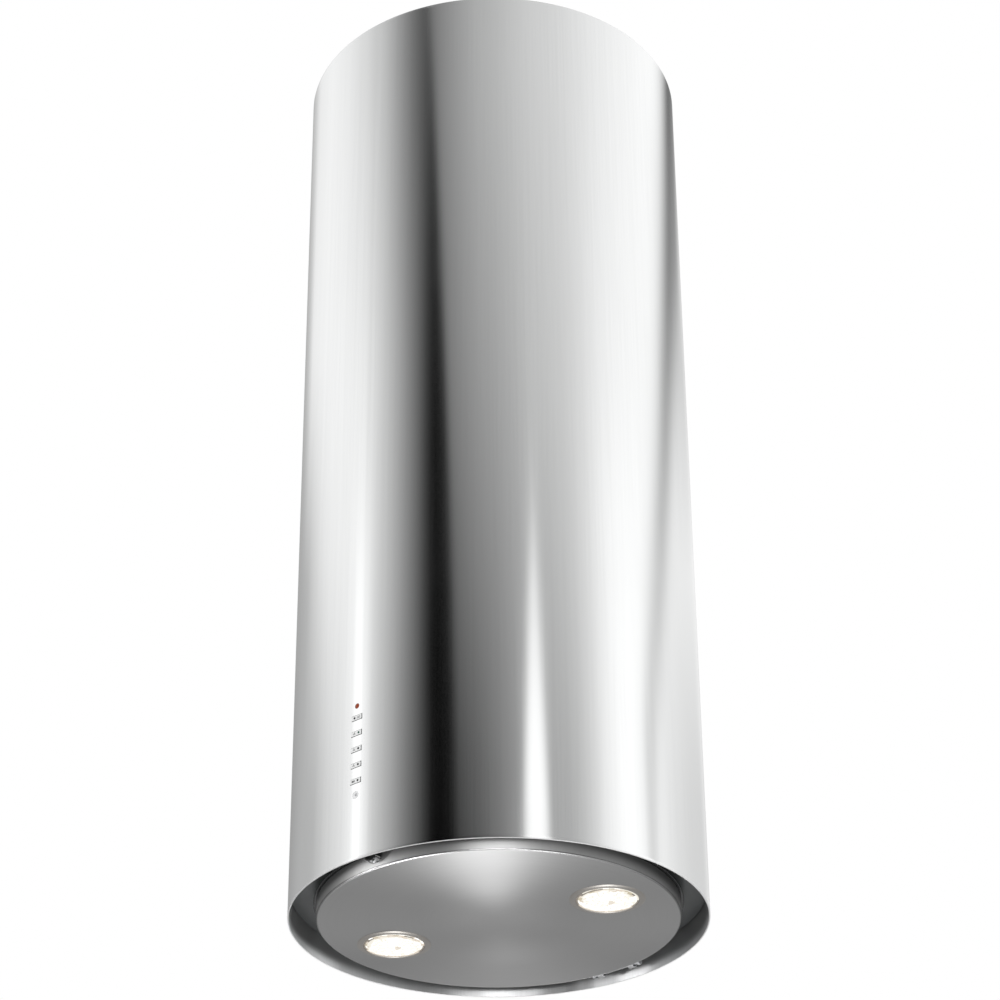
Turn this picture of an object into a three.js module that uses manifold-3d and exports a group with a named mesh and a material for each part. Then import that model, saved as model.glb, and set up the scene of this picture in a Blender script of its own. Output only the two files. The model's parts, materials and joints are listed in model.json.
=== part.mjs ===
// Island range hood: a brushed stainless cylinder that hangs from the ceiling over a hob.
// Air enters through the ring-shaped gap round the bottom panel, passes the grease filter, and is
// blown up through a 150 mm collar. Millimetres, +Z up. The origin is the centre of the ceiling
// plate's top face, the controls face -Y, and the panel's hinge is at the back, +Y.
import * as THREE from 'three';
import { mergeVertices } from 'three/addons/utils/BufferGeometryUtils.js';
import Module from 'manifold-3d';

const wasm = await Module();
wasm.setup();

// ---------------------------------------------------------------- driving dimensions
const HOOD_H = 890;            // ceiling to the bottom rim, closed up
const SHELL_R = 185;           // outer shell, outside
const SHELL_T = 1.2;
const SHELL_RI = SHELL_R - SHELL_T;
const BIG_SEG = 48;            // facets round the large rings
const TRAVEL = 275;            // how far the hood body can be lowered on its rails

const PLATE_R = 181;           // ceiling plate
const PLATE_T = 2;
const PLATE_RIM = 20;          // depth of its turned-down rim
const DUCT_HOLE_R = 80;
const FIX_HOLE_R = 4.5;        // four ceiling screw holes
const FIX_HALF = 92;           // at the corners of a 184 mm square

const SLEEVE_R = 182.4;        // upper sleeve, nested inside the shell
const SLEEVE_T = 1.0;
const SLEEVE_L = 335;

const RAIL_C = 124;            // outer corner of the upper angle rails
const RAIL_LEG = 24;
const RAIL_T = 2;
const INNER_C = 121.5;         // outer corner of the lower angle rails
const INNER_LEG = 22;
const CLAMP_X = 112;           // clamp screw position along the leg
const CLAMP_Z = -320;
const CLAMP_R = 2.5;

const INTAKE_H = 25;           // underside of the intake plate above the rim
const INTAKE_T = 1.2;
const FILTER_R = 150;          // opening for the grease filter

const PANEL_R = 160;           // bottom panel
const PANEL_WALL = 14.6;
const PANEL_T = 1.0;
const TRIM_R = 162.6;

const LAMP_R = 106.6;          // lamps' distance from the centre
const LAMP_TURN = 12;          // degrees that the pair of lamps is turned from the X axis

const HINGE_Y = 165;           // hinge axis of the panel
const HINGE_H = 5;
const HOOK_X = 17.7;

const BUTTON_H = [131.7, 116.9, 101.9, 87.0, 72.2];   // buttons, heights above the rim
const BUTTON_W = 11.6;
const BUTTON_TALL = 4.4;
const CATCH_X = 3.5;                 // knob and its clip sit a little to the right of the buttons
const LED_H = 142.8;
const RECEIVER_H = 59.3;

const FAN_Y = -52;             // fan axis, parallel to X
const FAN_H = 175;
const FAN_R = 72;
const SCROLL_HALF = 60;        // half the inside width of the scroll
const NECK_HALF = 60;          // half the inside depth of the outlet neck
const SHELF_H = 330;

const COLLAR_R = 74.5;         // spigot that a 150 mm duct slides over
const COLLAR_T = 1.5;
const COLLAR_H = 50;
const FLAP_H = SHELF_H + 18;   // damper pin's height above the rim

const up = (h) => h - HOOD_H;  // height above the rim to Z
const rad = THREE.MathUtils.degToRad;

// ---------------------------------------------------------------- geometry helpers
function toSolid(geometry) {
  const flat = geometry.index ? geometry.toNonIndexed() : geometry;
  const bare = new THREE.BufferGeometry();
  bare.setAttribute('position', flat.getAttribute('position').clone());
  const merged = mergeVertices(bare, 1e-4);
  const p = merged.getAttribute('position').array;
  const from = merged.index.array;
  let tris = [];
  let volume = 0;
  for (let i = 0; i < from.length; i += 3) {
    const [a, b, c] = [from[i], from[i + 1], from[i + 2]];
    if (a === b || b === c || a === c) continue;
    tris.push(a, b, c);
    const [ax, ay, az] = [p[3 * a], p[3 * a + 1], p[3 * a + 2]];
    const [bx, by, bz] = [p[3 * b], p[3 * b + 1], p[3 * b + 2]];
    const [cx, cy, cz] = [p[3 * c], p[3 * c + 1], p[3 * c + 2]];
    volume += ax * (by * cz - bz * cy) - ay * (bx * cz - bz * cx) + az * (bx * cy - by * cx);
  }
  if (volume < 0) {
    for (let i = 0; i < tris.length; i += 3) [tris[i + 1], tris[i + 2]] = [tris[i + 2], tris[i + 1]];
  }
  return new wasm.Manifold(new wasm.Mesh({
    numProp: 3, vertProperties: new Float32Array(p), triVerts: new Uint32Array(tris),
  }));
}

function toGeometry(solid) {
  const mesh = solid.getMesh();
  const g = new THREE.BufferGeometry();
  const n = mesh.numProp;
  const count = mesh.vertProperties.length / n;
  const pos = new Float32Array(count * 3);
  for (let i = 0; i < count; i += 1) {
    for (let k = 0; k < 3; k += 1) pos[3 * i + k] = mesh.vertProperties[n * i + k];
  }
  g.setAttribute('position', new THREE.BufferAttribute(pos, 3));
  g.setIndex(new THREE.BufferAttribute(new Uint32Array(mesh.triVerts), 1));
  return g;
}

const join = (...solids) => solids.reduce((a, b) => a.add(b));
const cut = (body, ...tools) => tools.reduce((a, b) => a.subtract(b), body);

// A box from its two corners.
function box(x0, x1, y0, y1, z0, z1) {
  const g = new THREE.BoxGeometry(x1 - x0, y1 - y0, z1 - z0);
  g.translate((x0 + x1) / 2, (y0 + y1) / 2, (z0 + z1) / 2);
  return toSolid(g);
}

// A turned piece about Z from a profile of [radius, z]. A profile off the axis closes on itself.
function turned(profile, seg) {
  const pts = profile.map(([r, z]) => new THREE.Vector2(r, z));
  if (profile[0][0] > 0 || profile[profile.length - 1][0] > 0) pts.push(pts[0].clone());
  const g = new THREE.LatheGeometry(pts, seg);
  g.rotateX(Math.PI / 2);
  return g;
}

const turnedZ = (profile, seg) => toSolid(turned(profile, seg));

// A turned piece about X: profile of [radius, x].
function turnedX(profile, seg, y = 0, z = 0) {
  const g = turned(profile, seg);
  g.rotateY(Math.PI / 2);
  g.translate(0, y, z);
  return toSolid(g);
}

// A turned piece about Y: profile of [radius, y].
function turnedY(profile, seg, x = 0, z = 0) {
  const g = turned(profile, seg);
  g.rotateX(-Math.PI / 2);
  g.translate(x, 0, z);
  return toSolid(g);
}

const rodX = (r, x0, x1, y, z, seg) => turnedX([[0, x0], [r, x0], [r, x1], [0, x1]], seg, y, z);
const rodY = (r, y0, y1, x, z, seg) => turnedY([[0, y0], [r, y0], [r, y1], [0, y1]], seg, x, z);
function rodZ(r, z0, z1, x, y, seg) {
  const g = turned([[0, z0], [r, z0], [r, z1], [0, z1]], seg);
  g.translate(x, y, 0);
  return toSolid(g);
}

// A flat outline extruded along Z between two levels.
function slabZ(points, z0, z1) {
  const shape = new THREE.Shape(points.map(([x, y]) => new THREE.Vector2(x, y)));
  const g = new THREE.ExtrudeGeometry(shape, { depth: z1 - z0, bevelEnabled: false, steps: 1 });
  g.translate(0, 0, z0);
  return toSolid(g);
}

// An outline in the Y-Z plane extruded along X between two stations.
function slabX(points, x0, x1, holes = []) {
  const shape = new THREE.Shape(points.map(([y, z]) => new THREE.Vector2(y, z)));
  for (const hole of holes) shape.holes.push(new THREE.Path(hole.map(([y, z]) => new THREE.Vector2(y, z))));
  const g = new THREE.ExtrudeGeometry(shape, { depth: x1 - x0, bevelEnabled: false, steps: 1 });
  g.applyMatrix4(new THREE.Matrix4().makeBasis(
    new THREE.Vector3(0, 1, 0), new THREE.Vector3(0, 0, 1), new THREE.Vector3(1, 0, 0)));
  g.translate(x0, 0, 0);
  return toSolid(g);
}

// A rounded rectangle as an outline.
function rounded(x0, x1, y0, y1, r, steps = 3) {
  const out = [];
  const corners = [[x1 - r, y0 + r, -90], [x1 - r, y1 - r, 0], [x0 + r, y1 - r, 90], [x0 + r, y0 + r, 180]];
  for (const [cx, cy, a0] of corners) {
    for (let i = 0; i <= steps; i += 1) {
      const a = rad(a0 + (90 * i) / steps);
      out.push([cx + r * Math.cos(a), cy + r * Math.sin(a)]);
    }
  }
  return out;
}

const circle = (cx, cy, r, n, a0 = 0, a1 = 360) => Array.from({ length: n }, (_, i) => {
  const a = rad(a0 + ((a1 - a0) * i) / (a1 - a0 === 360 ? n : n - 1));
  return [cx + r * Math.cos(a), cy + r * Math.sin(a)];
});

const turn = (solid, degrees) => solid.rotate([0, 0, degrees]);

// ---------------------------------------------------------------- materials
const steel = () => new THREE.MeshStandardMaterial({ color: 0xc9cbcc, roughness: 0.28, metalness: 1 });
const satin = () => new THREE.MeshStandardMaterial({ color: 0xb4b5b4, roughness: 0.4, metalness: 1 });
const zinc = () => new THREE.MeshStandardMaterial({ color: 0xa7abad, roughness: 0.5, metalness: 1 });
const bright = () => new THREE.MeshStandardMaterial({ color: 0xd7d9da, roughness: 0.15, metalness: 1 });
const darkPaint = () => new THREE.MeshStandardMaterial({ color: 0x55585a, roughness: 0.55, metalness: 0.3 });
const blackPlastic = () => new THREE.MeshStandardMaterial({ color: 0x1c1d1e, roughness: 0.6, metalness: 0 });
const greyPlastic = () => new THREE.MeshStandardMaterial({ color: 0x6d7072, roughness: 0.6, metalness: 0 });
const keyPlastic = () => new THREE.MeshStandardMaterial({ color: 0xc3c6c8, roughness: 0.4, metalness: 0.2 });
const whitePlastic = () => new THREE.MeshStandardMaterial({ color: 0xe2e2dd, roughness: 0.5, metalness: 0 });
const meshAluminium = () => new THREE.MeshStandardMaterial({ color: 0xbfc2c4, roughness: 0.45, metalness: 1 });
const board = () => new THREE.MeshStandardMaterial({ color: 0x2f6b45, roughness: 0.6, metalness: 0 });
const lampGlass = () => new THREE.MeshStandardMaterial({ color: 0xfff6df, roughness: 0.25, metalness: 0, emissive: 0xffe9c2 });
const mirrorCup = () => new THREE.MeshStandardMaterial({ color: 0xf0e6c8, roughness: 0.12, metalness: 1 });
const redLens = () => new THREE.MeshStandardMaterial({ color: 0xd0452c, roughness: 0.3, metalness: 0, emissive: 0x8a1a08 });

const hood = new THREE.Group();
function add(name, solid, material, parent = hood) {
  const mesh = new THREE.Mesh(toGeometry(solid), material);
  mesh.name = name;
  parent.add(mesh);
  return mesh;
}

// ---------------------------------------------------------------- ceiling frame
let ceiling = turnedZ([
  [DUCT_HOLE_R, -PLATE_T], [PLATE_R - 2, -PLATE_T], [PLATE_R - 2, -PLATE_RIM],
  [PLATE_R, -PLATE_RIM], [PLATE_R, 0], [DUCT_HOLE_R, 0],
], BIG_SEG);
for (const [sx, sy] of [[1, 1], [1, -1], [-1, 1], [-1, -1]]) {
  ceiling = cut(ceiling, rodZ(FIX_HOLE_R, -6, 4, sx * FIX_HALF, sy * FIX_HALF, 10));
}
ceiling = cut(ceiling, rodZ(9, -6, 4, 0, -93, 12));         // cable hole
add('ceiling_plate', ceiling, zinc());

const upperRail = cut(
  join(
    slabZ([
      [RAIL_C - RAIL_LEG, RAIL_C], [RAIL_C - RAIL_LEG, RAIL_C - RAIL_T], [RAIL_C - RAIL_T, RAIL_C - RAIL_T],
      [RAIL_C - RAIL_T, RAIL_C - RAIL_LEG], [RAIL_C, RAIL_C - RAIL_LEG], [RAIL_C, RAIL_C],
    ], -SLEEVE_L, -PLATE_T - 0.3),
    slabZ([[RAIL_C - RAIL_LEG, RAIL_C - RAIL_LEG], [RAIL_C, RAIL_C - RAIL_LEG], [RAIL_C, RAIL_C],
      [RAIL_C - RAIL_LEG, RAIL_C]], -PLATE_T - 2.3, -PLATE_T - 0.3),
  ),
  rodY(CLAMP_R + 0.35, RAIL_C - 8, RAIL_C + 4, CLAMP_X, CLAMP_Z, 10),
);
const SLOT_R = CLAMP_R + 0.4;
const railFoot = up(INTAKE_H + INTAKE_T + 0.3);
const lowerRail = cut(
  join(
    slabZ([
      [INNER_C - INNER_LEG, INNER_C], [INNER_C - INNER_LEG, INNER_C - RAIL_T], [INNER_C - RAIL_T, INNER_C - RAIL_T],
      [INNER_C - RAIL_T, INNER_C - INNER_LEG], [INNER_C, INNER_C - INNER_LEG], [INNER_C, INNER_C],
    ], railFoot, -15),
    slabZ([[INNER_C - INNER_LEG, INNER_C], [INNER_C, INNER_C - INNER_LEG], [INNER_C, INNER_C]], railFoot, railFoot + 2),
  ),
  box(CLAMP_X - SLOT_R, CLAMP_X + SLOT_R, INNER_C - 5, INNER_C + 3, CLAMP_Z, CLAMP_Z + TRAVEL),
  rodY(SLOT_R, INNER_C - 5, INNER_C + 3, CLAMP_X, CLAMP_Z, 12),
  rodY(SLOT_R, INNER_C - 5, INNER_C + 3, CLAMP_X, CLAMP_Z + TRAVEL, 12),
);
const clampScrew = join(
  turnedY([[0, RAIL_C + 0.3], [4.5, RAIL_C + 0.3], [4.5, RAIL_C + 2.6], [3.4, RAIL_C + 3.6], [0, RAIL_C + 3.6]], 10, CLAMP_X, CLAMP_Z),
  rodY(CLAMP_R, INNER_C - 7.5, RAIL_C + 1, CLAMP_X, CLAMP_Z, 10),
  rodY(4.4, INNER_C - RAIL_T - 3.8, INNER_C - RAIL_T - 0.3, CLAMP_X, CLAMP_Z, 6),
);
for (let k = 0; k < 4; k += 1) {
  add(`upper_rail_${k + 1}`, turn(upperRail, 90 * k), zinc());
  add(`clamp_screw_${k + 1}`, turn(clampScrew, 90 * k), bright());
}
add('upper_sleeve', turnedZ([
  [SLEEVE_R - SLEEVE_T, -SLEEVE_L], [SLEEVE_R, -SLEEVE_L], [SLEEVE_R, -0.6], [SLEEVE_R - SLEEVE_T, -0.6],
], BIG_SEG), steel());

// Terminal box under the ceiling plate, open below the cable hole, and its gland.
const termTop = -PLATE_T - 0.3;
const terminal = cut(
  slabZ(rounded(-38, 38, -156, -112, 4), termTop - 30, termTop),
  box(-35.5, 35.5, -153.5, -114.5, termTop - 27.5, termTop + 1),
  rodY(6.4, -118, -108, 0, termTop - 15, 12),
);
add('terminal_box', terminal, blackPlastic());
add('cable_gland', cut(
  turnedY([
    [0, -113.8], [6.0, -113.8], [6.0, -111.6], [9.5, -111.6], [9.5, -105.5], [8, -104.5], [8, -100], [6.5, -98], [0, -98],
  ], 12, 0, termTop - 15),
  rodY(3.6, -116, -96, 0, termTop - 15, 10),
), greyPlastic());

// ---------------------------------------------------------------- hood body: shell
let shell = turnedZ([
  [SHELL_RI, -HOOD_H], [SHELL_R, -HOOD_H], [SHELL_R, -1], [SHELL_RI, -1],
], BIG_SEG);
for (const h of BUTTON_H) {
  shell = cut(shell, box(-BUTTON_W / 2 - 0.35, BUTTON_W / 2 + 0.35, -190, -178,
    up(h - BUTTON_TALL / 2 - 0.35), up(h + BUTTON_TALL / 2 + 0.35)));
}
shell = cut(shell, rodY(2.9, -190, -178, 0, up(LED_H), 12), rodY(3.4, -190, -178, 0, up(RECEIVER_H), 12));
add('outer_shell', shell, steel());
for (let k = 0; k < 4; k += 1) add(`lower_rail_${k + 1}`, turn(lowerRail, 90 * k), zinc());

// Intake plate: a ring with a turned-up outer flange and an upright collar round the filter.
let intake = turnedZ([
  [FILTER_R, up(INTAKE_H)], [SHELL_RI - 0.4, up(INTAKE_H)], [SHELL_RI - 0.4, up(38)], [SHELL_RI - 1.6, up(38)],
  [SHELL_RI - 1.6, up(INTAKE_H + INTAKE_T)], [FILTER_R + 1.2, up(INTAKE_H + INTAKE_T)],
  [FILTER_R + 1.2, up(50)], [FILTER_R, up(50)],
], BIG_SEG);
intake = cut(intake, box(-6.8, 6.8, -156, -145, up(29.6), up(33)));
for (const a of [-25, 25]) {
  intake = join(intake, turn(box(-7, 7, FILTER_R - 6.5, FILTER_R + 0.6, up(31.2), up(32.4)), a));
}
add('intake_plate', intake, darkPaint());

// Grease filter cassette with the guide that its latch slides in.
const filterFrame = join(
  turnedZ([
    [149.3, up(33)], [140, up(33)], [140, up(34)], [148.2, up(34)], [148.2, up(44)], [140, up(44)], [140, up(45)], [149.3, up(45)],
  ], 36),
  box(6.7, 8.2, -146, -129, up(28.4), up(33.5)),
  box(-8.2, -6.7, -146, -129, up(28.4), up(33.5)),
  box(-8.2, 8.2, -146, -129, up(28.4), up(29.6)),
);
add('filter_frame', filterFrame, meshAluminium());
const waves = 4;
const meshProfile = [];
for (let i = 0; i <= waves; i += 1) meshProfile.push([(147.4 * i) / waves, up(34.4 + (i % 2) * 3)]);
for (let i = waves; i >= 0; i -= 1) meshProfile.push([(147.4 * i) / waves, up(40.4 + (i % 2) * 3)]);
add('filter_mesh', turnedZ(meshProfile, 30), meshAluminium());

// ---------------------------------------------------------------- blower
const zFan = up(FAN_H);
const neckTop = up(SHELF_H - 0.3);
function scrollOutline(grow, top) {
  const r0 = 82 + grow;
  const inner = -NECK_HALF - FAN_Y - grow;      // neck wall nearest the fan axis, from that axis
  const outer = NECK_HALF - FAN_Y + grow;
  const start = THREE.MathUtils.radToDeg(Math.acos(inner / r0));
  const pts = [[FAN_Y + outer, top], [FAN_Y + inner, top]];
  const n = 18;
  for (let i = 0; i <= n; i += 1) {
    const a = start + ((360 - start) * i) / n;
    const r = r0 + ((outer - r0) * i) / n;
    pts.push([FAN_Y + r * Math.cos(rad(a)), zFan + r * Math.sin(rad(a))]);
  }
  return pts;
}
const scroll = cut(
  join(
    slabX(scrollOutline(1.2, neckTop), -SCROLL_HALF - 1.2, SCROLL_HALF + 1.2),
    box(-72, 72, -72, 72, neckTop - 2, neckTop),
  ),
  slabX(scrollOutline(0, neckTop + 5), -SCROLL_HALF, SCROLL_HALF),
  rodX(62, -90, 90, FAN_Y, zFan, 28),
);
add('blower_housing', scroll, zinc());

let rotor = join(
  turnedX([[4.3, -1.2], [FAN_R - 1, -1.2], [FAN_R - 1, 1.2], [4.3, 1.2]], 28, FAN_Y, zFan),
  turnedX([[4.3, -15], [12, -15], [12, 15], [4.3, 15]], 12, FAN_Y, zFan),
  turnedX([[FAN_R - 11, -54], [FAN_R, -54], [FAN_R, -52], [FAN_R - 11, -52]], 28, FAN_Y, zFan),
  turnedX([[FAN_R - 11, 52], [FAN_R, 52], [FAN_R, 54], [FAN_R - 11, 54]], 28, FAN_Y, zFan),
);
const BLADES = 22;
for (let i = 0; i < BLADES; i += 1) {
  const g = new THREE.BoxGeometry(106, 1.2, 10.5);
  g.applyMatrix4(new THREE.Matrix4().makeRotationX(rad(32)));
  g.translate(0, 0, FAN_R - 5.8);
  g.applyMatrix4(new THREE.Matrix4().makeRotationX(rad((360 * i) / BLADES)));
  g.translate(0, FAN_Y, zFan);
  rotor = join(rotor, toSolid(g));
}
add('impeller', rotor, blackPlastic());
add('motor_shaft', rodX(4, -74, 18, FAN_Y, zFan, 12), bright());
add('motor', cut(
  turnedX([
    [0, -142], [26, -142], [30, -140], [30, -138], [44, -136], [44, -68], [42, -66], [14, -66], [14, -58], [0, -58],
  ], 20, FAN_Y, zFan),
  rodX(4.6, -75, -50, FAN_Y, zFan, 10),
), darkPaint());
let bracket = join(
  turnedX([[59, -63], [71, -63], [71, -61.5], [59, -61.5]], 24, FAN_Y, zFan),
  turnedX([[44.6, -80], [46.6, -80], [46.6, -61.5], [44.6, -61.5]], 24, FAN_Y, zFan),
);
for (let i = 0; i < 3; i += 1) {
  const g = new THREE.BoxGeometry(1.5, 9, 15);
  g.translate(-62.25, 0, 53);
  g.applyMatrix4(new THREE.Matrix4().makeRotationX(rad(120 * i + 60)));
  g.translate(0, FAN_Y, zFan);
  bracket = join(bracket, toSolid(g));
}
add('motor_bracket', bracket, zinc());

const shelf = INNER_C - RAIL_T - 0.3;
add('blower_shelf', cut(
  box(-shelf, shelf, -shelf, shelf, up(SHELF_H), up(SHELF_H + 2)),
  rodZ(70, up(SHELF_H - 4), up(SHELF_H + 6), 0, 0, 36),
), zinc());

// Outlet collar with a ledge under the two damper flaps.
const collarBase = up(SHELF_H + 2.3);
const flapZ = up(FLAP_H);
const collar = cut(
  turnedZ([
    [COLLAR_R - COLLAR_T, collarBase], [COLLAR_R + 14, collarBase], [COLLAR_R + 14, collarBase + 1.5],
    [COLLAR_R, collarBase + 1.5], [COLLAR_R, collarBase + COLLAR_H], [COLLAR_R - COLLAR_T, collarBase + COLLAR_H],
    [COLLAR_R - COLLAR_T, flapZ - 2.6], [69, flapZ - 2.6], [69, flapZ - 3.8], [COLLAR_R - COLLAR_T, flapZ - 3.8],
  ], 40),
  rodX(2.4, -80, 80, 0, flapZ, 10),
);
add('duct_collar', collar, blackPlastic());
add('damper_pin', rodX(2, -76, 76, 0, flapZ, 10), bright());
function flap(knuckles) {
  const r = 71.2;
  const outline = [];
  const a0 = THREE.MathUtils.radToDeg(Math.asin(4.4 / r));
  for (let i = 0; i <= 14; i += 1) {
    const a = rad(a0 + ((180 - 2 * a0) * i) / 14);
    outline.push([r * Math.cos(a), r * Math.sin(a)]);
  }
  let body = slabZ(outline, flapZ - 0.6, flapZ + 0.6);
  for (const [x0, x1] of knuckles) {
    body = join(body, cut(
      join(rodX(3.7, x0, x1, 0, flapZ, 10), box(x0, x1, 1, 5.5, flapZ - 0.6, flapZ + 0.6)),
      rodX(2.45, x0 - 1, x1 + 1, 0, flapZ, 10),
    ));
  }
  return body;
}
add('damper_flap_rear', flap([[-66, -50], [-8, 8], [50, 66]]), greyPlastic());
add('damper_flap_front', turn(flap([[-46, -30], [30, 46]]), 180), greyPlastic());

// ---------------------------------------------------------------- electrics
add('electrics_plate', box(-shelf, shelf, 117.5, 119, up(110), up(262)), zinc());
add('power_box', cut(
  slabZ(rounded(-62, 62, 119.8, 158, 5), up(122), up(236)),
  box(-59.5, 59.5, 118, 155.5, up(124.5), up(233.5)),
), blackPlastic());
add('lamp_transformer', slabZ(rounded(6, 76, 83, 117, 4), up(140), up(188)), whitePlastic());
const capacitor = turned([[0, up(140)], [14, up(140)], [15, up(141)], [15, up(200)], [14, up(202)], [5, up(202)], [4, up(208)], [0, up(208)]], 14);
capacitor.translate(-62, 101.5, 0);
add('capacitor', toSolid(capacitor), whitePlastic());

// ---------------------------------------------------------------- controls
let guide = cut(
  box(-16, 16, -179.5, -160, up(52), up(150)),
  box(-14, 14, -177.5, -158, up(54), up(148)),
  rodY(3.0, -181, -176, 0, up(LED_H), 10),
  rodY(3.6, -181, -176, 0, up(RECEIVER_H), 10),
);
for (const h of BUTTON_H) guide = cut(guide, box(-3, 3, -181, -176, up(h - 2.3), up(h + 2.3)));
add('control_housing', guide, blackPlastic());
let pcb = box(-13.5, 13.5, -168, -166.4, up(54.5), up(147.5));
for (const h of BUTTON_H) pcb = join(pcb, box(-3, 3, -174.8, -167.5, up(h - 3), up(h + 3)));
add('control_board', pcb, board());
add('led_lens', turnedY([
  [0, -186.1], [1.2, -185.9], [2.1, -185.4], [2.5, -184.6], [2.5, -183.1], [3.6, -183.1], [3.6, -181.6],
  [2.5, -181.6], [2.5, -170], [0, -170],
], 10, 0, up(LED_H)), redLens());
add('receiver_window', turnedY([
  [0, -185.3], [3.0, -185.3], [3.0, -183.1], [4.2, -183.1], [4.2, -181.6], [3.1, -181.6], [3.1, -170], [0, -170],
], 10, 0, up(RECEIVER_H)), greyPlastic());
BUTTON_H.forEach((h, i) => {
  const cap = new THREE.ExtrudeGeometry(
    new THREE.Shape(rounded(-BUTTON_W / 2 + 0.3, BUTTON_W / 2 - 0.3, -BUTTON_TALL / 2 + 0.3, BUTTON_TALL / 2 - 0.3, 0.5, 2)
      .map(([x, y]) => new THREE.Vector2(x, y))),
    { depth: 2.6, bevelEnabled: true, bevelThickness: 0.3, bevelSize: 0.3, bevelSegments: 1, steps: 1 },
  );
  cap.rotateX(Math.PI / 2);
  cap.translate(0, -182.6, up(h));
  add(`button_${i + 1}`, join(
    toSolid(cap),
    box(-8.4, 8.4, -182.9, -181.4, up(h - 4.1), up(h + 4.1)),
    box(-2.4, 2.4, -181.6, -176.5, up(h - 1.8), up(h + 1.8)),
  ), keyPlastic());
});

// ---------------------------------------------------------------- hinge and catch on the hood
const hz = up(HINGE_H);
const lug = (x0, x1) => slabX([
  [161.8, up(24)], ...circle(HINGE_Y, hz, 3.3, 9, 180, 360), [169, up(24)],
], x0, x1);
add('hinge_bracket', join(
  box(-30, 30, 163.6, 179.5, up(INTAKE_H - 1.6), up(INTAKE_H - 0.3)),
  lug(-27, -25), lug(25, 27),
  rodX(2, -26.5, 26.5, HINGE_Y, hz, 12),
), zinc());
add('catch_clip', join(
  box(CATCH_X - 14, CATCH_X + 14, -176, -163.3, up(INTAKE_H - 1.5), up(INTAKE_H - 0.3)),
  box(CATCH_X - 6.7, CATCH_X - 5.7, -170, -163.3, up(6), up(INTAKE_H - 1)),
  box(CATCH_X + 5.7, CATCH_X + 6.7, -170, -163.3, up(6), up(INTAKE_H - 1)),
), bright());

// Latch of the grease filter: a sliding tongue with a finger pull.
add('filter_latch', join(
  box(-6, 6, -154, -120, up(30.2), up(32.4)),
  box(-6, 6, -122, -120, up(21), up(31)),
  box(-6, 6, -126, -120, up(21), up(22.5)),
), blackPlastic());

// ---------------------------------------------------------------- bottom panel
const panel = new THREE.Group();
hood.add(panel);
const lampSpots = [0, 180].map((a) => [LAMP_R * Math.cos(rad(a + LAMP_TURN)), LAMP_R * Math.sin(rad(a + LAMP_TURN))]);
let tray = turnedZ([
  [0, up(0)], [PANEL_R - 1, up(0)], [PANEL_R, up(1)], [PANEL_R, up(PANEL_WALL)],
  [PANEL_R - PANEL_T, up(PANEL_WALL)], [PANEL_R - PANEL_T, up(1.8)], [PANEL_R - 1.9, up(PANEL_T)], [0, up(PANEL_T)],
], BIG_SEG);
for (const [x, y] of lampSpots) tray = cut(tray, rodZ(30.6, up(-3), up(5), x, y, 24));
add('panel_tray', tray, satin(), panel);
add('panel_trim', turnedZ([
  [PANEL_R - 1.4, up(PANEL_WALL + 0.3)], [TRIM_R, up(PANEL_WALL + 0.3)], [TRIM_R, up(PANEL_WALL + 2.2)],
  [PANEL_R - 1.4, up(PANEL_WALL + 2.2)],
], BIG_SEG), blackPlastic(), panel);
add('catch_knob', turnedY([
  [0, -PANEL_R - 8.5], [2.6, -PANEL_R - 8.2], [4.3, -PANEL_R - 7.2], [5, -PANEL_R - 5.6], [4.6, -PANEL_R - 3.8],
  [3, -PANEL_R - 3], [3, -PANEL_R - 0.3], [0, -PANEL_R - 0.3],
], 14, CATCH_X, up(6)), bright(), panel);
const hook = join(
  cut(
    join(
      rodX(4.4, -3, 3, HINGE_Y, hz, 16),
      box(-3, 3, 160.4, HINGE_Y, hz + 1, hz + 4.4),
    ),
    rodX(2.5, -5, 5, HINGE_Y, hz, 12),
  ),
  box(-6, 6, 160.3, 161.5, up(1.8), up(13)),
);
[-1, 1].forEach((side, i) => {
  const m = add(`hinge_hook_${i + 1}`, hook, bright(), panel);
  m.position.x = side * HOOK_X;
});

const lampAxis = (solidProfile, seg) => toSolid(turned(solidProfile, seg));
const bezel = lampAxis([
  [25.3, up(-1.1)], [26.6, up(-1.9)], [32.2, up(-1.3)], [33, up(-0.7)], [33, up(-0.35)], [30, up(-0.35)], [30, up(13)],
  [28.6, up(13)], [28.6, up(0.6)], [25.3, up(0.6)],
], 24);
const glass = lampAxis([
  [0, up(-2.6)], [9, up(-2.4)], [18, up(-1.8)], [24.9, up(-0.8)], [24.9, up(0.9)], [28.2, up(0.9)], [28.2, up(3.4)], [0, up(3.4)],
], 24);
const cup = lampAxis([
  [28.2, up(3.8)], [28.2, up(10)], [24.5, up(17)], [15, up(23.2)], [5.6, up(25)], [5.6, up(23.8)], [14.5, up(22)],
  [23.6, up(16)], [27.2, up(9.4)], [27.2, up(3.8)],
], 20);
const bulb = lampAxis([
  [0, up(7.5)], [2.6, up(8)], [4, up(9.8)], [4, up(19)], [4.9, up(19.6)], [4.9, up(27.8)], [0, up(27.8)],
], 10);
lampSpots.forEach(([x, y], i) => {
  const lamp = new THREE.Group();
  lamp.position.set(x, y, 0);
  panel.add(lamp);
  add(`lamp_bezel_${i + 1}`, bezel, satin(), lamp);
  add(`lamp_glass_${i + 1}`, glass, lampGlass(), lamp);
  add(`lamp_reflector_${i + 1}`, cup, mirrorCup(), lamp);
  add(`lamp_bulb_${i + 1}`, bulb, lampGlass(), lamp);
});

export default hood;
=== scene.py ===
import bpy
import bmesh
import json
import math
import random
from mathutils import Vector, Matrix
from mathutils.geometry import delaunay_2d_cdt

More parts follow.
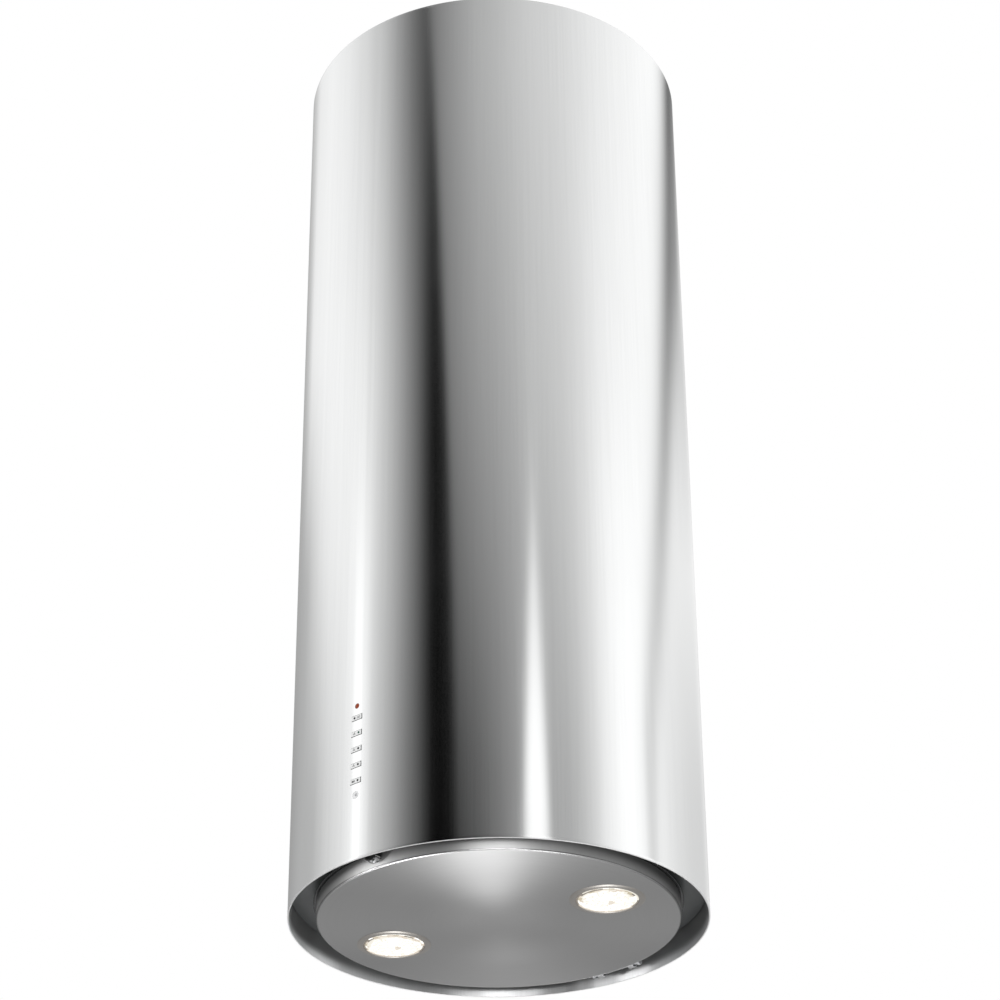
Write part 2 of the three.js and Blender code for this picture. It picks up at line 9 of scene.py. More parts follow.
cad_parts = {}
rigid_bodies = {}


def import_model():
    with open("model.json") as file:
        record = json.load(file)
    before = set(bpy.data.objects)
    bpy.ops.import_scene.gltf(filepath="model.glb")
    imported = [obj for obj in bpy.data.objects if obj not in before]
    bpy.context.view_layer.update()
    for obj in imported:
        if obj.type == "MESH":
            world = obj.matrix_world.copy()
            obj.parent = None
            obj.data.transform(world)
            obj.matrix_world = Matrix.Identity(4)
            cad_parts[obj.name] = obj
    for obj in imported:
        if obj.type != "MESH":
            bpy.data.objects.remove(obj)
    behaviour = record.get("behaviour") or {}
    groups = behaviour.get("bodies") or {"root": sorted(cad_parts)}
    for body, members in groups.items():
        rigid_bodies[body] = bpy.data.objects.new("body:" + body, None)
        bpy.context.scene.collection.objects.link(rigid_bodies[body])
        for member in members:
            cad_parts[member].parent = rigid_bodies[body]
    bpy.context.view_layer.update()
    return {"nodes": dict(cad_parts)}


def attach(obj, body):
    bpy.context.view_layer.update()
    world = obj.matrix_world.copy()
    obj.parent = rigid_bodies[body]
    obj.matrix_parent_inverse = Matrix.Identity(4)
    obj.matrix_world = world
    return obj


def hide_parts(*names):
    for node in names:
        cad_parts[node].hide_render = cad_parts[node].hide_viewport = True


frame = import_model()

NODES = frame["nodes"]
TAU = math.tau

# ------------------------------------------------------------------ sizes (mm, as in the CAD)
HOOD_H = 890.0
SHELL_R, SHELL_RI = 185.0, 183.8
BUTTON_H = [131.7, 116.9, 101.9, 87.0, 72.2]
LED_H, RECEIVER_H = 142.8, 59.3
PANEL_R = 160.0
LAMP_R, LAMP_TURN = 106.6, 12.0
HINGE_Y, HINGE_H, HOOK_X = 165.0, 5.0, 17.7
KEY_W, KEY_T, CATCH_X = 11.6, 4.4, 3.5
HOLE_W, HOLE_T = KEY_W / 2 + 0.35, KEY_T / 2 + 0.35
CAM_AZ = 40.6


def up(h):
    return h - HOOD_H


LAMPS = [(LAMP_R * math.cos(math.radians(a + LAMP_TURN)), LAMP_R * math.sin(math.radians(a + LAMP_TURN))) for a in (0, 180)]

# ------------------------------------------------------------------ camera
scene = bpy.context.scene
F_PX, CAM_D, CAM_DROP = 2858.5, 2.3488, 0.9448
PITCH, YAW, ROLL = 0.5292, 0.0017, -0.0082
ca, sa = math.cos(math.radians(CAM_AZ)), math.sin(math.radians(CAM_AZ))
RIGHT0, AWAY0 = Vector((ca, sa, 0)), Vector((-sa, ca, 0))


def cam_frame(x, y, z):
    return RIGHT0 * x + AWAY0 * y + Vector((0, 0, z))


fwd = cam_frame(math.sin(YAW) * math.cos(PITCH), math.cos(YAW) * math.cos(PITCH), math.sin(PITCH))
rgt = cam_frame(math.cos(YAW), -math.sin(YAW), 0)
upv = rgt.cross(fwd)
r2 = math.cos(ROLL) * rgt + math.sin(ROLL) * upv
u2 = -math.sin(ROLL) * rgt + math.cos(ROLL) * upv
cam_data = bpy.data.cameras.new("camera")
cam_data.sensor_width = 36.0
cam_data.lens = F_PX / 1000.0 * 36.0
cam_data.clip_start, cam_data.clip_end = 0.05, 200.0
cam = bpy.data.objects.new("camera", cam_data)
scene.collection.objects.link(cam)
cam.matrix_world = Matrix.Translation(cam_frame(0, -CAM_D, -HOOD_H / 1000 - CAM_DROP)) @ Matrix(
    (r2, u2, -fwd)).transposed().to_4x4()
scene.camera = cam
scene.view_settings.view_transform = "Standard"
scene.view_settings.look = "None"
scene.view_settings.exposure = 0.0
scene.view_settings.gamma = 1.0


# ------------------------------------------------------------------ node helpers
class Tree:
    """Small helper to write node graphs as expressions."""

    def __init__(self, tree):
        self.t = tree
        tree.nodes.clear()

    def node(self, kind, **props):
        n = self.t.nodes.new(kind)
        for k, v in props.items():
            setattr(n, k, v)
        return n

    def put(self, socket, value):
        if isinstance(value, bpy.types.NodeSocket):
            self.t.links.new(value, socket)
        elif value is not None:
            socket.default_value = value

    def math(self, op, a, b=None, c=None, clamp=False):
        n = self.node("ShaderNodeMath", operation=op, use_clamp=clamp)
        for i, v in enumerate((a, b, c)):
            if v is not None:
                self.put(n.inputs[i], v)
        return n.outputs[0]

    def add(self, a, b): return self.math("ADD", a, b)
    def sub(self, a, b): return self.math("SUBTRACT", a, b)
    def mul(self, a, b): return self.math("MULTIPLY", a, b)
    def div(self, a, b): return self.math("DIVIDE", a, b)

    def vec(self, op, a, b=None):
        n = self.node("ShaderNodeVectorMath", operation=op)
        self.put(n.inputs[0], a)
        if b is not None:
            self.put(n.inputs[1], b)
        return n.outputs["Value"] if op in ("DOT_PRODUCT", "LENGTH", "DISTANCE") else n.outputs[0]

    def remap(self, x, a0, a1, b0=0.0, b1=1.0, kind="SMOOTHSTEP"):
        n = self.node("ShaderNodeMapRange", interpolation_type=kind)
        n.clamp = True
        self.put(n.inputs["Value"], x)
        self.put(n.inputs["From Min"], a0)
        self.put(n.inputs["From Max"], a1)
        self.put(n.inputs["To Min"], b0)
        self.put(n.inputs["To Max"], b1)
        return n.outputs[0]

    def mixf(self, f, a, b):
        n = self.node("ShaderNodeMix", data_type="FLOAT")
        self.put(n.inputs[0], f)
        self.put(n.inputs[2], a)
        self.put(n.inputs[3], b)
        return n.outputs[0]

    def mixc(self, f, a, b, blend="MIX"):
        n = self.node("ShaderNodeMix", data_type="RGBA", blend_type=blend)
        self.put(n.inputs[0], f)
        self.put(n.inputs[6], a)
        self.put(n.inputs[7], b)
        return n.outputs[2]

    def ramp(self, x, stops, interp="LINEAR"):
        n = self.node("ShaderNodeValToRGB")
        cr = n.color_ramp
        cr.interpolation = interp
        while len(cr.elements) > 1:
            cr.elements.remove(cr.elements[-1])
        cr.elements[0].position = stops[0][0]
        cols = [s[1] if isinstance(s[1], tuple) else (s[1],) * 3 for s in stops]
        cr.elements[0].color = (*cols[0], 1)
        for (pos, _), col in list(zip(stops, cols))[1:]:
            e = cr.elements.new(pos)
            e.color = (*col, 1)
        self.put(n.inputs[0], x)
        return n.outputs[0]

    def noise(self, vector, scale=5.0, detail=2.0, rough=0.5, dims="3D", distortion=0.0):
        n = self.node("ShaderNodeTexNoise", noise_dimensions=dims)
        self.put(n.inputs["Vector"], vector)
        n.inputs["Scale"].default_value = scale
        n.inputs["Detail"].default_value = detail
        n.inputs["Roughness"].default_value = rough
        n.inputs["Distortion"].default_value = distortion
        return n.outputs[0]

    def obj(self):
        return self.node("ShaderNodeTexCoord").outputs["Object"]

    def scaled(self, vector, s):
        n = self.node("ShaderNodeMapping")
        self.put(n.inputs["Vector"], vector)
        n.inputs["Scale"].default_value = s
        return n.outputs[0]

    def xyz(self, vector):
        n = self.node("ShaderNodeSeparateXYZ")
        self.put(n.inputs[0], vector)
        return n.outputs

    def comb(self, x, y, z):
        n = self.node("ShaderNodeCombineXYZ")
        for s, v in zip(n.inputs, (x, y, z)):
            self.put(s, v)
        return n.outputs[0]

    def bump(self, height, strength, distance):
        n = self.node("ShaderNodeBump")
        n.inputs["Strength"].default_value = strength
        n.inputs["Distance"].default_value = distance
        self.put(n.inputs["Height"], height)
        return n.outputs[0]


# ------------------------------------------------------------------ world: a studio of soft light panels
# Directions are turned to face the hood's controlled side: A is half the compass angle between a direction and the
# camera's side, so a panel at A lights the strip of the cylinder at azimuth A. T runs from 0 low to 1 high.
world = bpy.data.worlds.new("studio")
scene.world = world
world.use_nodes = True
W = Tree(world.node_tree)
direction = W.node("ShaderNodeTexCoord").outputs["Generated"]
u = W.vec("DOT_PRODUCT", direction, tuple(RIGHT0))
v = W.vec("DOT_PRODUCT", direction, tuple(-AWAY0))
dz = W.xyz(direction)[2]
A = W.mul(W.math("ARCTAN2", u, v), 90.0 / math.pi)
elev = W.mul(W.math("ARCSINE", dz), 180.0 / math.pi)
T = W.remap(W.math("ABSOLUTE", elev), 24.2 - 15, 24.2 + 18, -1.0, 1.2, "LINEAR")
AF = W.add(W.mul(A, 1 / 180.0), 0.5)


def by_angle(stops):
    return W.ramp(AF, [((a + 90.0) / 180.0, val / 1.4) for a, val in stops])


def by_height(low, mid, high, top):
    """Blends four rings of light, at T = 0, 0.3, 0.57 and 1."""
    f = W.mixf(W.remap(T, 0.0, 0.3, 0, 1, "LINEAR"), low, mid)
    f = W.mixf(W.remap(T, 0.3, 0.57, 0, 1, "LINEAR"), f, high)
    return W.mul(W.mixf(W.remap(T, 0.57, 1.0, 0, 1, "LINEAR"), f, top), 1.4)


left = by_height(
    by_angle([(-90, .40), (-81, .38), (-70, .51), (-61, .54), (-54, .76), (-47, .92), (-41, 1.20), (-36, .70), (-31, .46), (-26, .22), (-20.5, .05), (-18, 0)]),
    by_angle([(-90, .42), (-81, .43), (-70, .54), (-62, .86), (-56, 1.03), (-47, 1.08), (-41, 1.20), (-36, .82), (-31, .56), (-26, .30), (-20.5, .05), (-18, 0)]),
    by_angle([(-90, .45), (-81, .49), (-76, .66), (-72, 1.0), (-62, 1.11), (-52, 1.12), (-42, 1.04), (-36, .81), (-31, .56), (-26, .30), (-20.5, .05), (-18, 0)]),
    by_angle([(-90, .44), (-82, .53), (-76, .73), (-72, .97), (-62, 1.08), (-52, 1.00), (-42, .78), (-36, .62), (-31, .39), (-26, .20), (-20.5, .06), (-18, 0)]))
right = by_height(
    by_angle([(-13, .025), (-5, .095), (0, .185), (6, .33), (15, .43), (21, .51), (26, .73), (31, 1.06), (36, 1.26), (44, 1.26), (56, .92), (66, .80), (76, .75), (82, .86), (90, .45)]),
    by_angle([(-13, .14), (-5, .26), (0, .32), (6, .42), (15, .54), (21, .68), (26, .87), (31, 1.12), (36, 1.26), (44, 1.26), (62, 1.06), (78, .98), (83, 1.0), (90, .50)]),
    by_angle([(-15, .22), (-5, .38), (0, .44), (6, .53), (15, .67), (21, .75), (26, .87), (31, 1.01), (36, 1.11), (44, 1.17), (55, 1.19), (68, .80), (78, .70), (83, .80), (90, .50)]),
    by_angle([(-20, .24), (-15, .33), (-5, .53), (0, .59), (10, .74), (21, .84), (31, .97), (41, 1.08), (52, 1.17), (62, 1.22), (72, 1.1), (82, .74), (90, .55)]))
edge = W.sub(-11.2, W.mul(T, W.add(2.0, W.mul(T, 6.0))))
in_right = W.remap(A, W.sub(edge, 1.0), W.add(edge, 1.0))
in_left = W.remap(A, -19.5, -18.0, 1.0, 0.0)
e = W.add(W.mul(right, in_right), W.mul(left, in_left))
# dark slanted seam between the two right-hand panels
seam_at = W.math("MAXIMUM", 46.0, W.add(42.8, W.mul(T, 34.8)))
seam = W.div(W.sub(A, seam_at), W.add(2.6, W.mul(T, 5.0)))
seam = W.math("EXPONENT", W.mul(W.mul(seam, seam), -1.0))
e = W.mul(e, W.sub(1.0, W.mul(seam, W.add(0.34, W.mul(W.remap(T, 0, 1, 0, 1, "LINEAR"), 0.46)))))
shade = W.div(W.sub(A, W.add(seam_at, 7.0)), 6.0)
shade = W.mul(W.math("EXPONENT", W.mul(W.mul(shade, shade), -1.0)), W.remap(T, 0.5, 0.75, 0.0, 0.5))
e = W.mul(e, W.sub(1.0, shade))
# sharp-edged bright card on the left, low down
streak = W.mul(W.mul(W.remap(A, -45.0, -42.5), W.remap(A, -39.6, -38.8, 1.0, 0.0)), W.remap(T, 0.15, 0.45, 1.0, 0.0))
e = W.add(e, W.mul(streak, 0.22))
# narrow bright panel, wider low down
wide = W.remap(T, 0.0, 0.42, 3.3, 0.0, "LINEAR")
near = W.math("ABSOLUTE", W.sub(A, 10.3))
wedge = W.mul(W.remap(W.sub(near, wide), -0.9, 0.9, 1.0, 0.0), W.remap(T, 0.22, 0.44, 1.0, 0.0))
e = W.mixf(wedge, e, 1.38)
# below the horizon behind the hood the studio is plain grey
below = W.mul(W.remap(elev, -4.0, 4.0, 1.0, 0.0), W.remap(W.math("ABSOLUTE", A), 56, 68))
e = W.mixf(below, e, 0.42)
# straight up and straight down are soft grey-white, with one long narrow panel lying under the hood
e = W.mixf(W.remap(elev, 50, 75), e, 0.9)
e = W.mixf(W.remap(elev, -50, -75), e, 1.25)
below_all = W.remap(elev, -48, -38, 1.0, 0.0)
strip = W.mul(W.remap(W.math("ABSOLUTE", u), 0.05, 0.16, 1.0, 0.0), below_all)
e = W.add(e, W.mul(strip, 1.9))
light = W.node("ShaderNodeBackground")
W.put(light.inputs["Color"], W.comb(e, e, W.mul(e, 1.0)))
light.inputs["Strength"].default_value = 1.0
white = W.node("ShaderNodeBackground")
white.inputs["Color"].default_value = (1, 1, 1, 1)
white.inputs["Strength"].default_value = 1.0
mix = W.node("ShaderNodeMixShader")
W.put(mix.inputs[0], W.node("ShaderNodeLightPath").outputs["Is Camera Ray"])
W.put(mix.inputs[1], light.outputs[0])
W.put(mix.inputs[2], white.outputs[0])
W.put(W.node("ShaderNodeOutputWorld").inputs["Surface"], mix.outputs[0])

# ------------------------------------------------------------------ mesh helpers (profiles in mm)
MM = 0.001


def finish_mesh(name, bm, material, body, slot, replaces=(), smooth=True, weighted=True, sharp=35.0, facing=1):
    bmesh.ops.remove_doubles(bm, verts=bm.verts, dist=1e-7)
    bmesh.ops.recalc_face_normals(bm, faces=bm.faces)
    me = bpy.data.meshes.new(name)
    bm.to_mesh(me)
    bm.free()
    if me.polygons and volume_of(me) * facing < 0:
        me.flip_normals()
    if smooth:
        me.polygons.foreach_set("use_smooth", [True] * len(me.polygons))
        me.set_sharp_from_angle(angle=math.radians(sharp))
    ob = bpy.data.objects.new(name, me)
    scene.collection.objects.link(ob)
    for m in material if isinstance(material, (list, tuple)) else [material]:
        me.materials.append(m)
    if weighted:
        w = ob.modifiers.new("weighted", "WEIGHTED_NORMAL")
        w.keep_sharp = True
        w.weight = 80
    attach(ob, body)
    if replaces:
        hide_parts(*replaces)
    return ob


def volume_of(me):
    me.calc_loop_triangles()
    total = 0.0
    for t in me.loop_triangles:
        a, b, c = (me.vertices[i].co for i in t.vertices)
        total += a.dot(b.cross(c))
    return total


def ring_at(bm, r, h, seg, cx=0.0, cy=0.0):
    return [bm.verts.new(Vector((cx + r * math.cos(TAU * k / seg), cy + r * math.sin(TAU * k / seg), h)) * MM) for k in range(seg)]


def fillet(pts, r, n=3, closed=True, only=None):
    """Rounds the corners of a profile. pts are [radius, height]; r is one radius for all corners or a list."""
    out = []
    m = len(pts)
    for i, p in enumerate(pts):
        ri = r[i] if isinstance(r, (list, tuple)) else r
        if ri <= 0 or (not closed and i in (0, m - 1)):
            out.append(tuple(p))
            continue
        a, b, c = Vector(pts[i - 1]), Vector(p), Vector(pts[(i + 1) % m])
        d0, d1 = (a - b), (c - b)
        l0, l1 = d0.length, d1.length
        if l0 < 1e-6 or l1 < 1e-6:
            out.append(tuple(p))
            continue
        d0, d1 = d0 / l0, d1 / l1
        ang = math.acos(max(-1, min(1, d0.dot(d1))))
        if ang > math.radians(172) or ang < math.radians(5):
            out.append(tuple(p))
            continue
        t = ri / math.tan(ang / 2)
        t = min(t, l0 * 0.48, l1 * 0.48)
        rr = t * math.tan(ang / 2)
        centre = b + (d0 + d1).normalized() * (rr / math.sin(ang / 2))
        s, e2 = b + d0 * t, b + d1 * t
        a0 = math.atan2(*(s - centre).yx)
        a1 = math.atan2(*(e2 - centre).yx)
        da = (a1 - a0 + math.pi) % TAU - math.pi
        for k in range(n + 1):
            an = a0 + da * k / n
            out.append((centre.x + rr * math.cos(an), centre.y + rr * math.sin(an)))
    return out


def spin(bm, profile, seg, centre=(0, 0, 0), axis="Z", mat=0, start=0.0):
    """Adds a turned body to bm. profile: [radius, along] in mm, closed on itself or with both ends on the axis."""
    closed = profile[0][0] > 1e-6 or profile[-1][0] > 1e-6
    rings = []
    for r, h in profile:
        if r < 1e-6:
            rings.append([bm.verts.new(place(0, 0, h, centre, axis))])
        else:
            rings.append([bm.verts.new(place(r * math.cos(start + TAU * k / seg), r * math.sin(start + TAU * k / seg), h, centre, axis)) for k in range(seg)])
    count = len(rings)
    for i in range(count if closed else count - 1):
        a, b = rings[i], rings[(i + 1) % count]
        for k in range(seg):
            k2 = (k + 1) % seg
            vs = []
            for q in (a[k % len(a)], a[k2 % len(a)], b[k2 % len(b)], b[k % len(b)]):
                if q not in vs:
                    vs.append(q)
            if len(vs) >= 3:
                f = bm.faces.new(vs)
                f.material_index = mat
    return rings


def place(x, y, h, centre, axis):
    if axis == "Z":
        p = (x, y, h)
    elif axis == "X":
        p = (h, x, y)
    else:
        p = (x, h, y)
    return Vector([(c + q) * MM for c, q in zip(centre, p)])


def turned(name, profile, seg, material, body, slot, replaces=(), centre=(0, 0, 0), axis="Z", round_r=0.0, n=3, **kw):
    bm = bmesh.new()
    closed = profile[0][0] > 1e-6 or profile[-1][0] > 1e-6
    if round_r:
        profile = fillet(profile, round_r, n, closed)
    spin(bm, profile, seg, centre, axis)
    return finish_mesh(name, bm, material, body, slot, replaces, **kw)


def flat_with_holes(bm, outer, holes, h, flip=False, rings=()):
    """A flat face at height h (mm) between an outer loop and hole loops, each a list of existing verts."""
    verts2, index = [], []
    edges = []
    for loop in [outer, *holes]:
        base = len(verts2)
        for q in loop:
            verts2.append(Vector((q.co.x, q.co.y)))
            index.append(q)
        edges += [(base + i, base + (i + 1) % len(loop)) for i in range(len(loop))]
    extra = []
    for rr, n in rings:
        for k in range(n):
            p = Vector((rr * MM * math.cos(TAU * k / n), rr * MM * math.sin(TAU * k / n)))
            if all((p - Vector((cx * MM, cy * MM))).length > 0.034 for cx, cy in LAMPS):
                extra.append(p)
    for p in extra:
        verts2.append(p)
        index.append(bm.verts.new((p.x, p.y, h * MM)))
    out = delaunay_2d_cdt(verts2, edges, [], 0, 1e-7)
    made = out[0]
    back = [orig[0] if orig else None for orig in out[3]]
    hole_tests = []
    for loop in holes:
        c = sum((Vector((q.co.x, q.co.y)) for q in loop), Vector((0, 0))) / len(loop)
        rad = min((Vector((q.co.x, q.co.y)) - c).length for q in loop)
        hole_tests.append((c, rad))
    for tri in out[2]:
        c = sum((made[i] for i in tri), Vector((0, 0))) / len(tri)
        if any((c - hc).length < hr * 0.9999 for hc, hr in hole_tests):
            continue
        if c.length > max(Vector((q.co.x, q.co.y)).length for q in outer[:1]) * 1.0001:
            continue
        vs = [index[back[i]] for i in tri]
        if flip:
            vs.reverse()
        try:
            bm.faces.new(vs)
        except ValueError:
            pass


def slab(bm, x0, x1, y0, y1, z0, z1, r=0.0, n=3, axis="Z", edge=0.0, mat=0):
    """A box with rounded vertical corners, extruded along axis."""
    if axis == "Z":
        w = (x0, x1, y0, y1, z0, z1)
    elif axis == "Y":
        w = (x0, x1, z0, z1, y0, y1)
    else:
        w = (y0, y1, z0, z1, x0, x1)
    a0, a1, b0, b1, c0, c1 = w

    def loop(inset, level):
        pts = []
        rr = max(r - inset, 0.0) if r > 0 else 0.0
        for cx, cy, s in ((a1 - r, b0 + r, -90), (a1 - r, b1 - r, 0), (a0 + r, b1 - r, 90), (a0 + r, b0 + r, 180)):
            if r > 0:
                for k in range(n + 1):
                    an = math.radians(s + 90 * k / n)
                    pts.append((cx + (rr) * math.cos(an), cy + (rr) * math.sin(an)))
            else:
                sx = -1 if cx == a1 else 1
                sy = -1 if cy == b1 else 1
                pts.append((cx + sx * inset, cy + sy * inset))
        out = []
        for p, q in pts:
            if axis == "Z":
                co = (p, q, level)
            elif axis == "Y":
                co = (p, level, q)
            else:
                co = (level, p, q)
            out.append(bm.verts.new(Vector(co) * MM))
        return out

    levels = []
    if edge > 0:
        for k in range(3):
            an = math.radians(90 * k / 2)
            levels.append((edge * (1 - math.sin(an)), c0 + edge * (1 - math.cos(an))))
        for k in range(3):
            an = math.radians(90 * k / 2)
            levels.append((edge * (1 - math.cos(an)), c1 - edge * (1 - math.sin(an))))
    else:
        levels = [(0, c0), (0, c1)]
    loops = [loop(i, lv) for i, lv in levels]
    for a, b in zip(loops, loops[1:]):
        for k in range(len(a)):
            k2 = (k + 1) % len(a)
            f = bm.faces.new((a[k], a[k2], b[k2], b[k]))
            f.material_index = mat
    f = bm.faces.new(list(reversed(loops[0])))
    f.material_index = mat
    f = bm.faces.new(loops[-1])
    f.material_index = mat


# ------------------------------------------------------------------ materials
def principled(name):
    m = bpy.data.materials.new(name)
    m.use_nodes = True
    t = Tree(m.node_tree)
    b = t.node("ShaderNodeBsdfPrincipled")
    o = t.node("ShaderNodeOutputMaterial")
    t.t.links.new(b.outputs[0], o.inputs["Surface"])
    return m, t, b


def edge_wear(t, amount=1.0, lo=0.52, hi=0.60):
    g = t.node("ShaderNodeNewGeometry")
    return t.mul(t.remap(g.outputs["Pointiness"], lo, hi), amount)


def brushed(name, base, rough=0.25, aniso=0.55, rot=0.25, grain="vertical", grain_scale=1.0, rough_var=0.05, col_var=0.03,
            bump=0.06, dirt=0.0, wear=0.0, dish=0.0, waves=0.0, painted_gap_shade=None, dull_centre=0.0, lean=(0.0, 0.0)):
    """Brushed steel. grain: vertical lines, rings round Z, or lines along x or y."""
    m, t, b = principled(name)
    p = t.obj()
    x, y, z = t.xyz(p)
    if grain == "vertical":
        v1 = t.scaled(p, (2600 * grain_scale, 2600 * grain_scale, 9))
        v2 = t.scaled(p, (620 * grain_scale, 620 * grain_scale, 3))
    elif grain == "rings":
        rr = t.vec("LENGTH", t.comb(x, y, 0.0))
        ang = t.math("ARCTAN2", y, x)
        v1 = t.comb(t.mul(rr, 2400 * grain_scale), t.mul(ang, 1.3), 0.0)
        v2 = t.comb(t.mul(rr, 520 * grain_scale), t.mul(ang, 0.6), 3.0)
    elif grain == "x":
        v1 = t.scaled(p, (14, 2400 * grain_scale, 2400 * grain_scale))
        v2 = t.scaled(p, (4, 560 * grain_scale, 560 * grain_scale))
    else:
        v1 = t.scaled(p, (2400 * grain_scale, 14, 2400 * grain_scale))
        v2 = t.scaled(p, (560 * grain_scale, 4, 560 * grain_scale))
    fine = t.noise(v1, 1.0, 3.0, 0.6)
    band = t.noise(v2, 1.0, 2.0, 0.5)
    cloud = t.noise(t.scaled(p, (9, 9, 5)), 1.0, 3.0, 0.55)
    grainv = t.add(t.mul(fine, 0.65), t.mul(band, 0.35))
    dark = tuple(c * (1 - 2.2 * col_var) for c in base)
    lite = tuple(min(1.0, c * (1 + 1.6 * col_var)) for c in base)
    colour = t.mixc(t.remap(grainv, 0.3, 0.7), (*dark, 1), (*lite, 1))
    colour = t.mixc(t.remap(cloud, 0.35, 0.75, 0.0, 0.35 * dirt + 0.06), colour, tuple(c * 0.86 for c in base) + (1,))
    if wear:
        colour = t.mixc(edge_wear(t, wear), colour, (0.9, 0.9, 0.9, 1))
    if painted_gap_shade:        # painted shade: the colour darkens upward between two heights, standing in for the shade deeper in the gap between panel and shell: (from height, to height, share of the colour left)
        colour = t.mixc(t.remap(t.add(z, t.mul(t.sub(cloud, 0.5), 0.004)), up(painted_gap_shade[0]) * MM, up(painted_gap_shade[1]) * MM), colour, tuple(c * painted_gap_shade[2] for c in base) + (1,))
    t.put(b.inputs["Base Color"], colour)
    b.inputs["Metallic"].default_value = 1.0
    r = t.add(rough - rough_var, t.mul(grainv, 2 * rough_var))
    r = t.add(r, t.mul(t.remap(cloud, 0.4, 0.8), 0.03 + 0.08 * dirt))
    t.put(b.inputs["Roughness"], r)
    b.inputs["Anisotropic"].default_value = aniso
    b.inputs["Anisotropic Rotation"].default_value = rot
    tan = t.node("ShaderNodeTangent", direction_type="RADIAL", axis="Z")
    t.put(b.inputs["Tangent"], tan.outputs[0])
    nb = t.node("ShaderNodeBump")
    nb.inputs["Strength"].default_value = bump
    nb.inputs["Distance"].default_value = 0.00006
    t.put(nb.inputs["Height"], grainv)
    if waves:       # rolled sheet that isn't quite true, with smears left on it
        w1 = t.noise(t.scaled(p, (11, 11, 16)), 1.0, 2.0, 0.5, distortion=0.3)
        wb = t.node("ShaderNodeBump")
        wb.inputs["Strength"].default_value = waves
        wb.inputs["Distance"].default_value = 0.006
        t.put(wb.inputs["Height"], w1)
        t.put(nb.inputs["Normal"], wb.outputs[0])
    if dish:        # the sheet bellies outward a little, more so toward its edge
        g = t.node("ShaderNodeNewGeometry").outputs["Normal"]
        bent = t.vec("ADD", g, t.comb(t.add(t.mul(x, dish), lean[0]), t.add(t.mul(y, dish), lean[1]), 0.0))
        t.put(nb.inputs["Normal"], t.vec("NORMALIZE", bent))
    t.put(b.inputs["Normal"], nb.outputs[0])
    if dull_centre:     # the rings are too tight there to throw a highlight of their own
        even = t.node("ShaderNodeBsdfPrincipled")
        t.put(even.inputs["Base Color"], colour)
        even.inputs["Metallic"].default_value = 1.0
        even.inputs["Roughness"].default_value = dull_centre
        t.put(even.inputs["Normal"], nb.outputs[0])
        both = t.node("ShaderNodeMixShader")
        rad = t.vec("LENGTH", t.comb(x, y, 0.0))
        t.put(both.inputs[0], t.remap(rad, 10 * MM, 88 * MM, 1.0, 0.0))
        t.t.links.new(b.outputs[0], both.inputs[1])
        t.t.links.new(even.outputs[0], both.inputs[2])
        last = [n for n in m.node_tree.nodes if n.type == "OUTPUT_MATERIAL"][0]
        t.t.links.new(both.outputs[0], last.inputs["Surface"])
    return m


def metal(name, base, rough=0.3, rough_var=0.06, col_var=0.05, scale=60.0, bump=0.05, spangle=False, wear=0.4):
    """Plain metal with small uneven patches, or galvanised sheet with its crystal spangle."""
    m, t, b = principled(name)
    p = t.obj()
    n1 = t.noise(p, scale, 4.0, 0.55)
    n2 = t.noise(p, scale * 9, 3.0, 0.6)
    f = t.add(t.mul(n1, 0.6), t.mul(n2, 0.4))
    dark = tuple(c * (1 - 2 * col_var) for c in base)
    lite = tuple(min(1.0, c * (1 + 1.5 * col_var)) for c in base)
    colour = t.mixc(t.remap(f, 0.3, 0.7), (*dark, 1), (*lite, 1))
    r = t.add(rough - rough_var, t.mul(f, 2 * rough_var))
    if spangle:
        vo = t.node("ShaderNodeTexVoronoi", feature="F1")
        t.put(vo.inputs["Vector"], p)
        vo.inputs["Scale"].default_value = 130.0
        cell = t.xyz(vo.outputs["Color"])[0]
        colour = t.mixc(0.5, colour, t.mixc(cell, tuple(c * 0.82 for c in base) + (1,), tuple(min(1, c * 1.12) for c in base) + (1,)))
        r = t.add(r, t.mul(t.sub(cell, 0.5), 0.12))
    colour = t.mixc(edge_wear(t, wear), colour, (0.93, 0.93, 0.92, 1))
    t.put(b.inputs["Base Color"], colour)
    b.inputs["Metallic"].default_value = 1.0
    t.put(b.inputs["Roughness"], r)
    t.put(b.inputs["Normal"], t.bump(n2, bump, 0.0001))
    return m


def paint(name, base, rough=0.5, metallic=0.0, orange=0.12, scale=900.0, col_var=0.06, wear=0.3, wear_col=(0.55, 0.55, 0.55), ior=1.5):
    """Stove paint or moulded plastic with a fine grain and lighter edges."""
    m, t, b = principled(name)
    p = t.obj()
    n1 = t.noise(p, scale, 3.0, 0.6)
    n2 = t.noise(p, 26.0, 4.0, 0.55)
    dark = tuple(c * (1 - 1.5 * col_var) for c in base)
    lite = tuple(min(1.0, c * (1 + 1.5 * col_var)) for c in base)
    colour = t.mixc(t.remap(t.add(t.mul(n2, 0.7), t.mul(n1, 0.3)), 0.3, 0.7), (*dark, 1), (*lite, 1))
    colour = t.mixc(edge_wear(t, wear, 0.53, 0.62), colour, (*wear_col, 1))
    t.put(b.inputs["Base Color"], colour)
    b.inputs["Metallic"].default_value = metallic
    b.inputs["IOR"].default_value = ior
    t.put(b.inputs["Roughness"], t.add(rough - 0.05, t.mul(n1, 0.1)))
    t.put(b.inputs["Normal"], t.bump(n1, orange, 0.00025))
    return m


